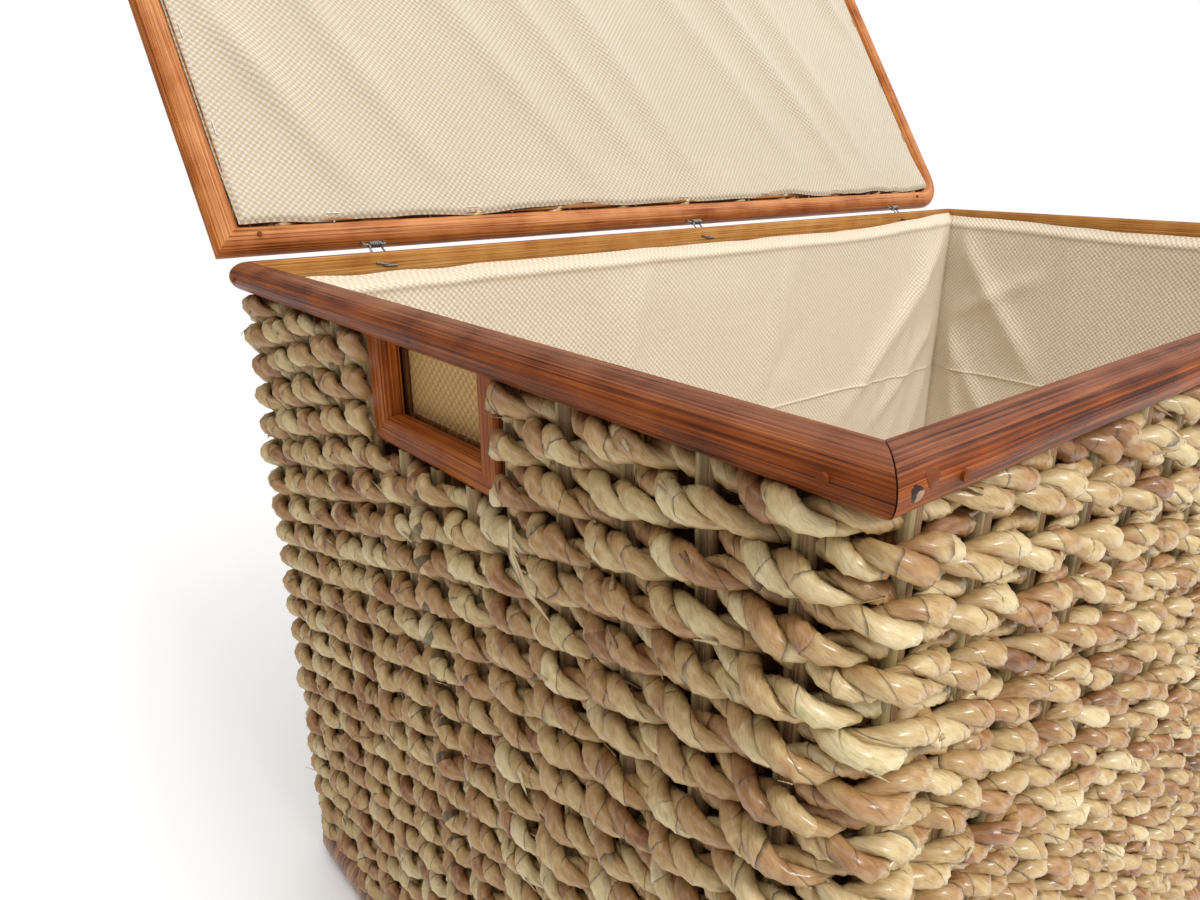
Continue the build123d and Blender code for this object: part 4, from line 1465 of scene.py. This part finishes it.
# drawn in and puffed between the staples
scallop = lidClothLook["scallop"] * drift(clothRng, u[:, 0] + 1, 0.05)[:, None]
scallop = scallop * smoothStep(-fromSide, -0.03, 0)
puff = np.abs(np.sin(u * math.pi / lidClothLook["waist"])) * smoothStep(-fromSide, -0.05, -0.004)
lift = free * (ridge + 0.0006) + lidClothLook["puff"] * puff
rise = (clothLow[2] + clothHigh[2]) / 2 - 0.0004 - lift + 0.0022 * smoothStep(-edge, -0.0035, 0.0)
points = onLid(u, lidMiddle + v - np.sign(v) * np.abs(scallop) * 1.4, rise)
skin = Skin()
# painted shade along the turned, stapled edge
skin.grid(points, sheetRun(u, v), 0.4 * smoothStep(-edge, -0.003, 0.0), closedRound=False)
lidSheet = skin.build("lid_lining_cloth", shadedLidCloth, "lid", ["lid_lining"])
lidSheet.data.flip_normals()
print("lid lined")

# Wire coils of the hinges, with their legs clenched on the rim's inner face

wireLook = dict(radius=0.0007, coil=0.00178, halfCoil=0.0046, turns=6.5, sides=8, clench=0.0120)
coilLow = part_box("hinge_coils")[0]


def wireTube(skin, route):
    forward = unit(np.gradient(route, axis=0))
    start = np.array((0.3, 0.2, 0.9)) if abs(forward[0][2]) < 0.8 else np.array((0.9, 0.2, 0.1))
    first = [unit(start - start.dot(forward[0]) * forward[0])]
    for direction in forward[1:]:
        first.append(unit(first[-1] - first[-1].dot(direction) * direction))
    first = np.array(first)[:, None]
    second = np.cross(forward[:, None], first)
    ring = (np.arange(wireLook["sides"]) / wireLook["sides"] * tau)[None, :, None]
    points = route[:, None] + wireLook["radius"] * (np.cos(ring) * first + np.sin(ring) * second)
    skin.tube(points, points, 0.5)


def smoothRoute(points):
    # rounds a bent wire's corners
    points = np.array(points, float)
    for _ in range(3):
        cut = np.empty((2 * len(points) - 2, 3))
        cut[0::2] = points[:-1] * 0.75 + points[1:] * 0.25
        cut[1::2] = points[:-1] * 0.25 + points[1:] * 0.75
        points = np.concatenate([points[:1], cut, points[-1:]])
    return points


coilXs = np.sort(cadPoints("hinge_coils")[:, 0])
hingeGroups = np.split(coilXs, np.where(np.diff(coilXs) > 0.05)[0] + 1)
clenchLevel = coilLow.z + 0.0026
legY = coilLow.y + wireLook["radius"]  # against the rim's inner face
skin = Skin()
for group in hingeGroups:
    middle, halfCoil = (group[0] + group[-1]) / 2, wireLook["halfCoil"]
    part = np.linspace(0, wireLook["turns"], 90) / wireLook["turns"]
    spin = part * wireLook["turns"] * tau + math.pi
    coilY = lidOrigin[1] + wireLook["coil"] * np.cos(spin)
    coilZ = lidOrigin[2] + wireLook["coil"] * np.sin(spin)
    coil = np.stack([middle + halfCoil * (2 * part - 1), coilY, coilZ], -1)
    wireTube(skin, coil)
    for side, end in ((-1, coil[0]), (1, coil[-1])):
        legX = end[0] + side * 0.0006
        tip = (end[0] - side * wireLook["clench"], legY, clenchLevel + 0.0010 + side * 0.0012)
        leg = [end, (legX, end[1] - 0.002, lidOrigin[2] - 0.0030), (legX, legY, clenchLevel), tip]
        wireTube(skin, smoothRoute(leg))
skin.build("hinge_wire", wireSteel, "basket", ["hinge_coils"])
print("hinges wound:", len(hingeGroups))

# Floor, light and camera

studio = dict(
    floor=(0.94, 0.94, 0.935),
    floorHalf=2.6,
    seen=1.02,  # the backdrop's strength as the camera sees it
    world=0.34,  # and as it lights the object
    key=dict(place=(-0.15, -2.3, 2.2), target=(0, 0, 0.3), size=0.7, power=38.0),
    ceiling=dict(place=(0.6, -0.5, 3.4), target=(0, 0, 0), size=7.5, power=312.0),
)


def makeFloor():
    mesh = bpy.data.meshes.new("studioFloor")
    size = studio["floorHalf"]
    corners = [(-size, -size, 0), (size, -size, 0), (size, size, 0), (-size, size, 0)]
    mesh.from_pydata(corners, [], [(0, 1, 2, 3)])
    floor = bpy.data.objects.new("studioFloor", mesh)
    bpy.context.scene.collection.objects.link(floor)
    paper = {"Roughness": 0.9, "Specular IOR Level": 0.1, "Base Color": (*studio["floor"], 1)}
    mesh.materials.append(newMaterial("studioPaper", paper)[0])


def addLight(name, place, target, size, power):
    light = bpy.data.lights.new(name, "AREA")
    light.shape, light.size, light.energy = "SQUARE", size, power
    lamp = bpy.data.objects.new(name, light)
    lamp.location = place
    lamp.rotation_euler = (Vector(target) - Vector(place)).to_track_quat("-Z", "Y").to_euler()
    bpy.context.scene.collection.objects.link(lamp)


makeFloor()
world = bpy.data.worlds.new("studio")
world.use_nodes = True
backdrop = world.node_tree.nodes["Background"]
backdrop.inputs[0].default_value = (1, 1, 1, 1)
seen = put(world.node_tree, "ShaderNodeLightPath").outputs["Is Camera Ray"]
strength = spread(world.node_tree, seen, 0.0, 1.0, studio["world"], studio["seen"])
world.node_tree.links.new(strength, backdrop.inputs[1])
scene = bpy.context.scene
scene.world = world
addLight("keyLight", **studio["key"])
addLight("ceilingLight", **studio["ceiling"])
scene.view_settings.view_transform = "Standard"

camera = bpy.data.cameras.new("camera")
camera.lens, camera.sensor_width = 26.14, 36.0
camera.shift_x, camera.shift_y = -0.0178, 0.0259
camera.clip_start, camera.clip_end = 0.02, 60
eye = bpy.data.objects.new("camera", camera)
eye.location = (-0.5593, -0.3315, 0.5041)
eye.rotation_euler = (math.radians(90 - 20.93), math.radians(-0.06), math.radians(-39.89))
scene.collection.objects.link(eye)
scene.camera = eye

bpy.context.view_layer.update()
print("scene ready")
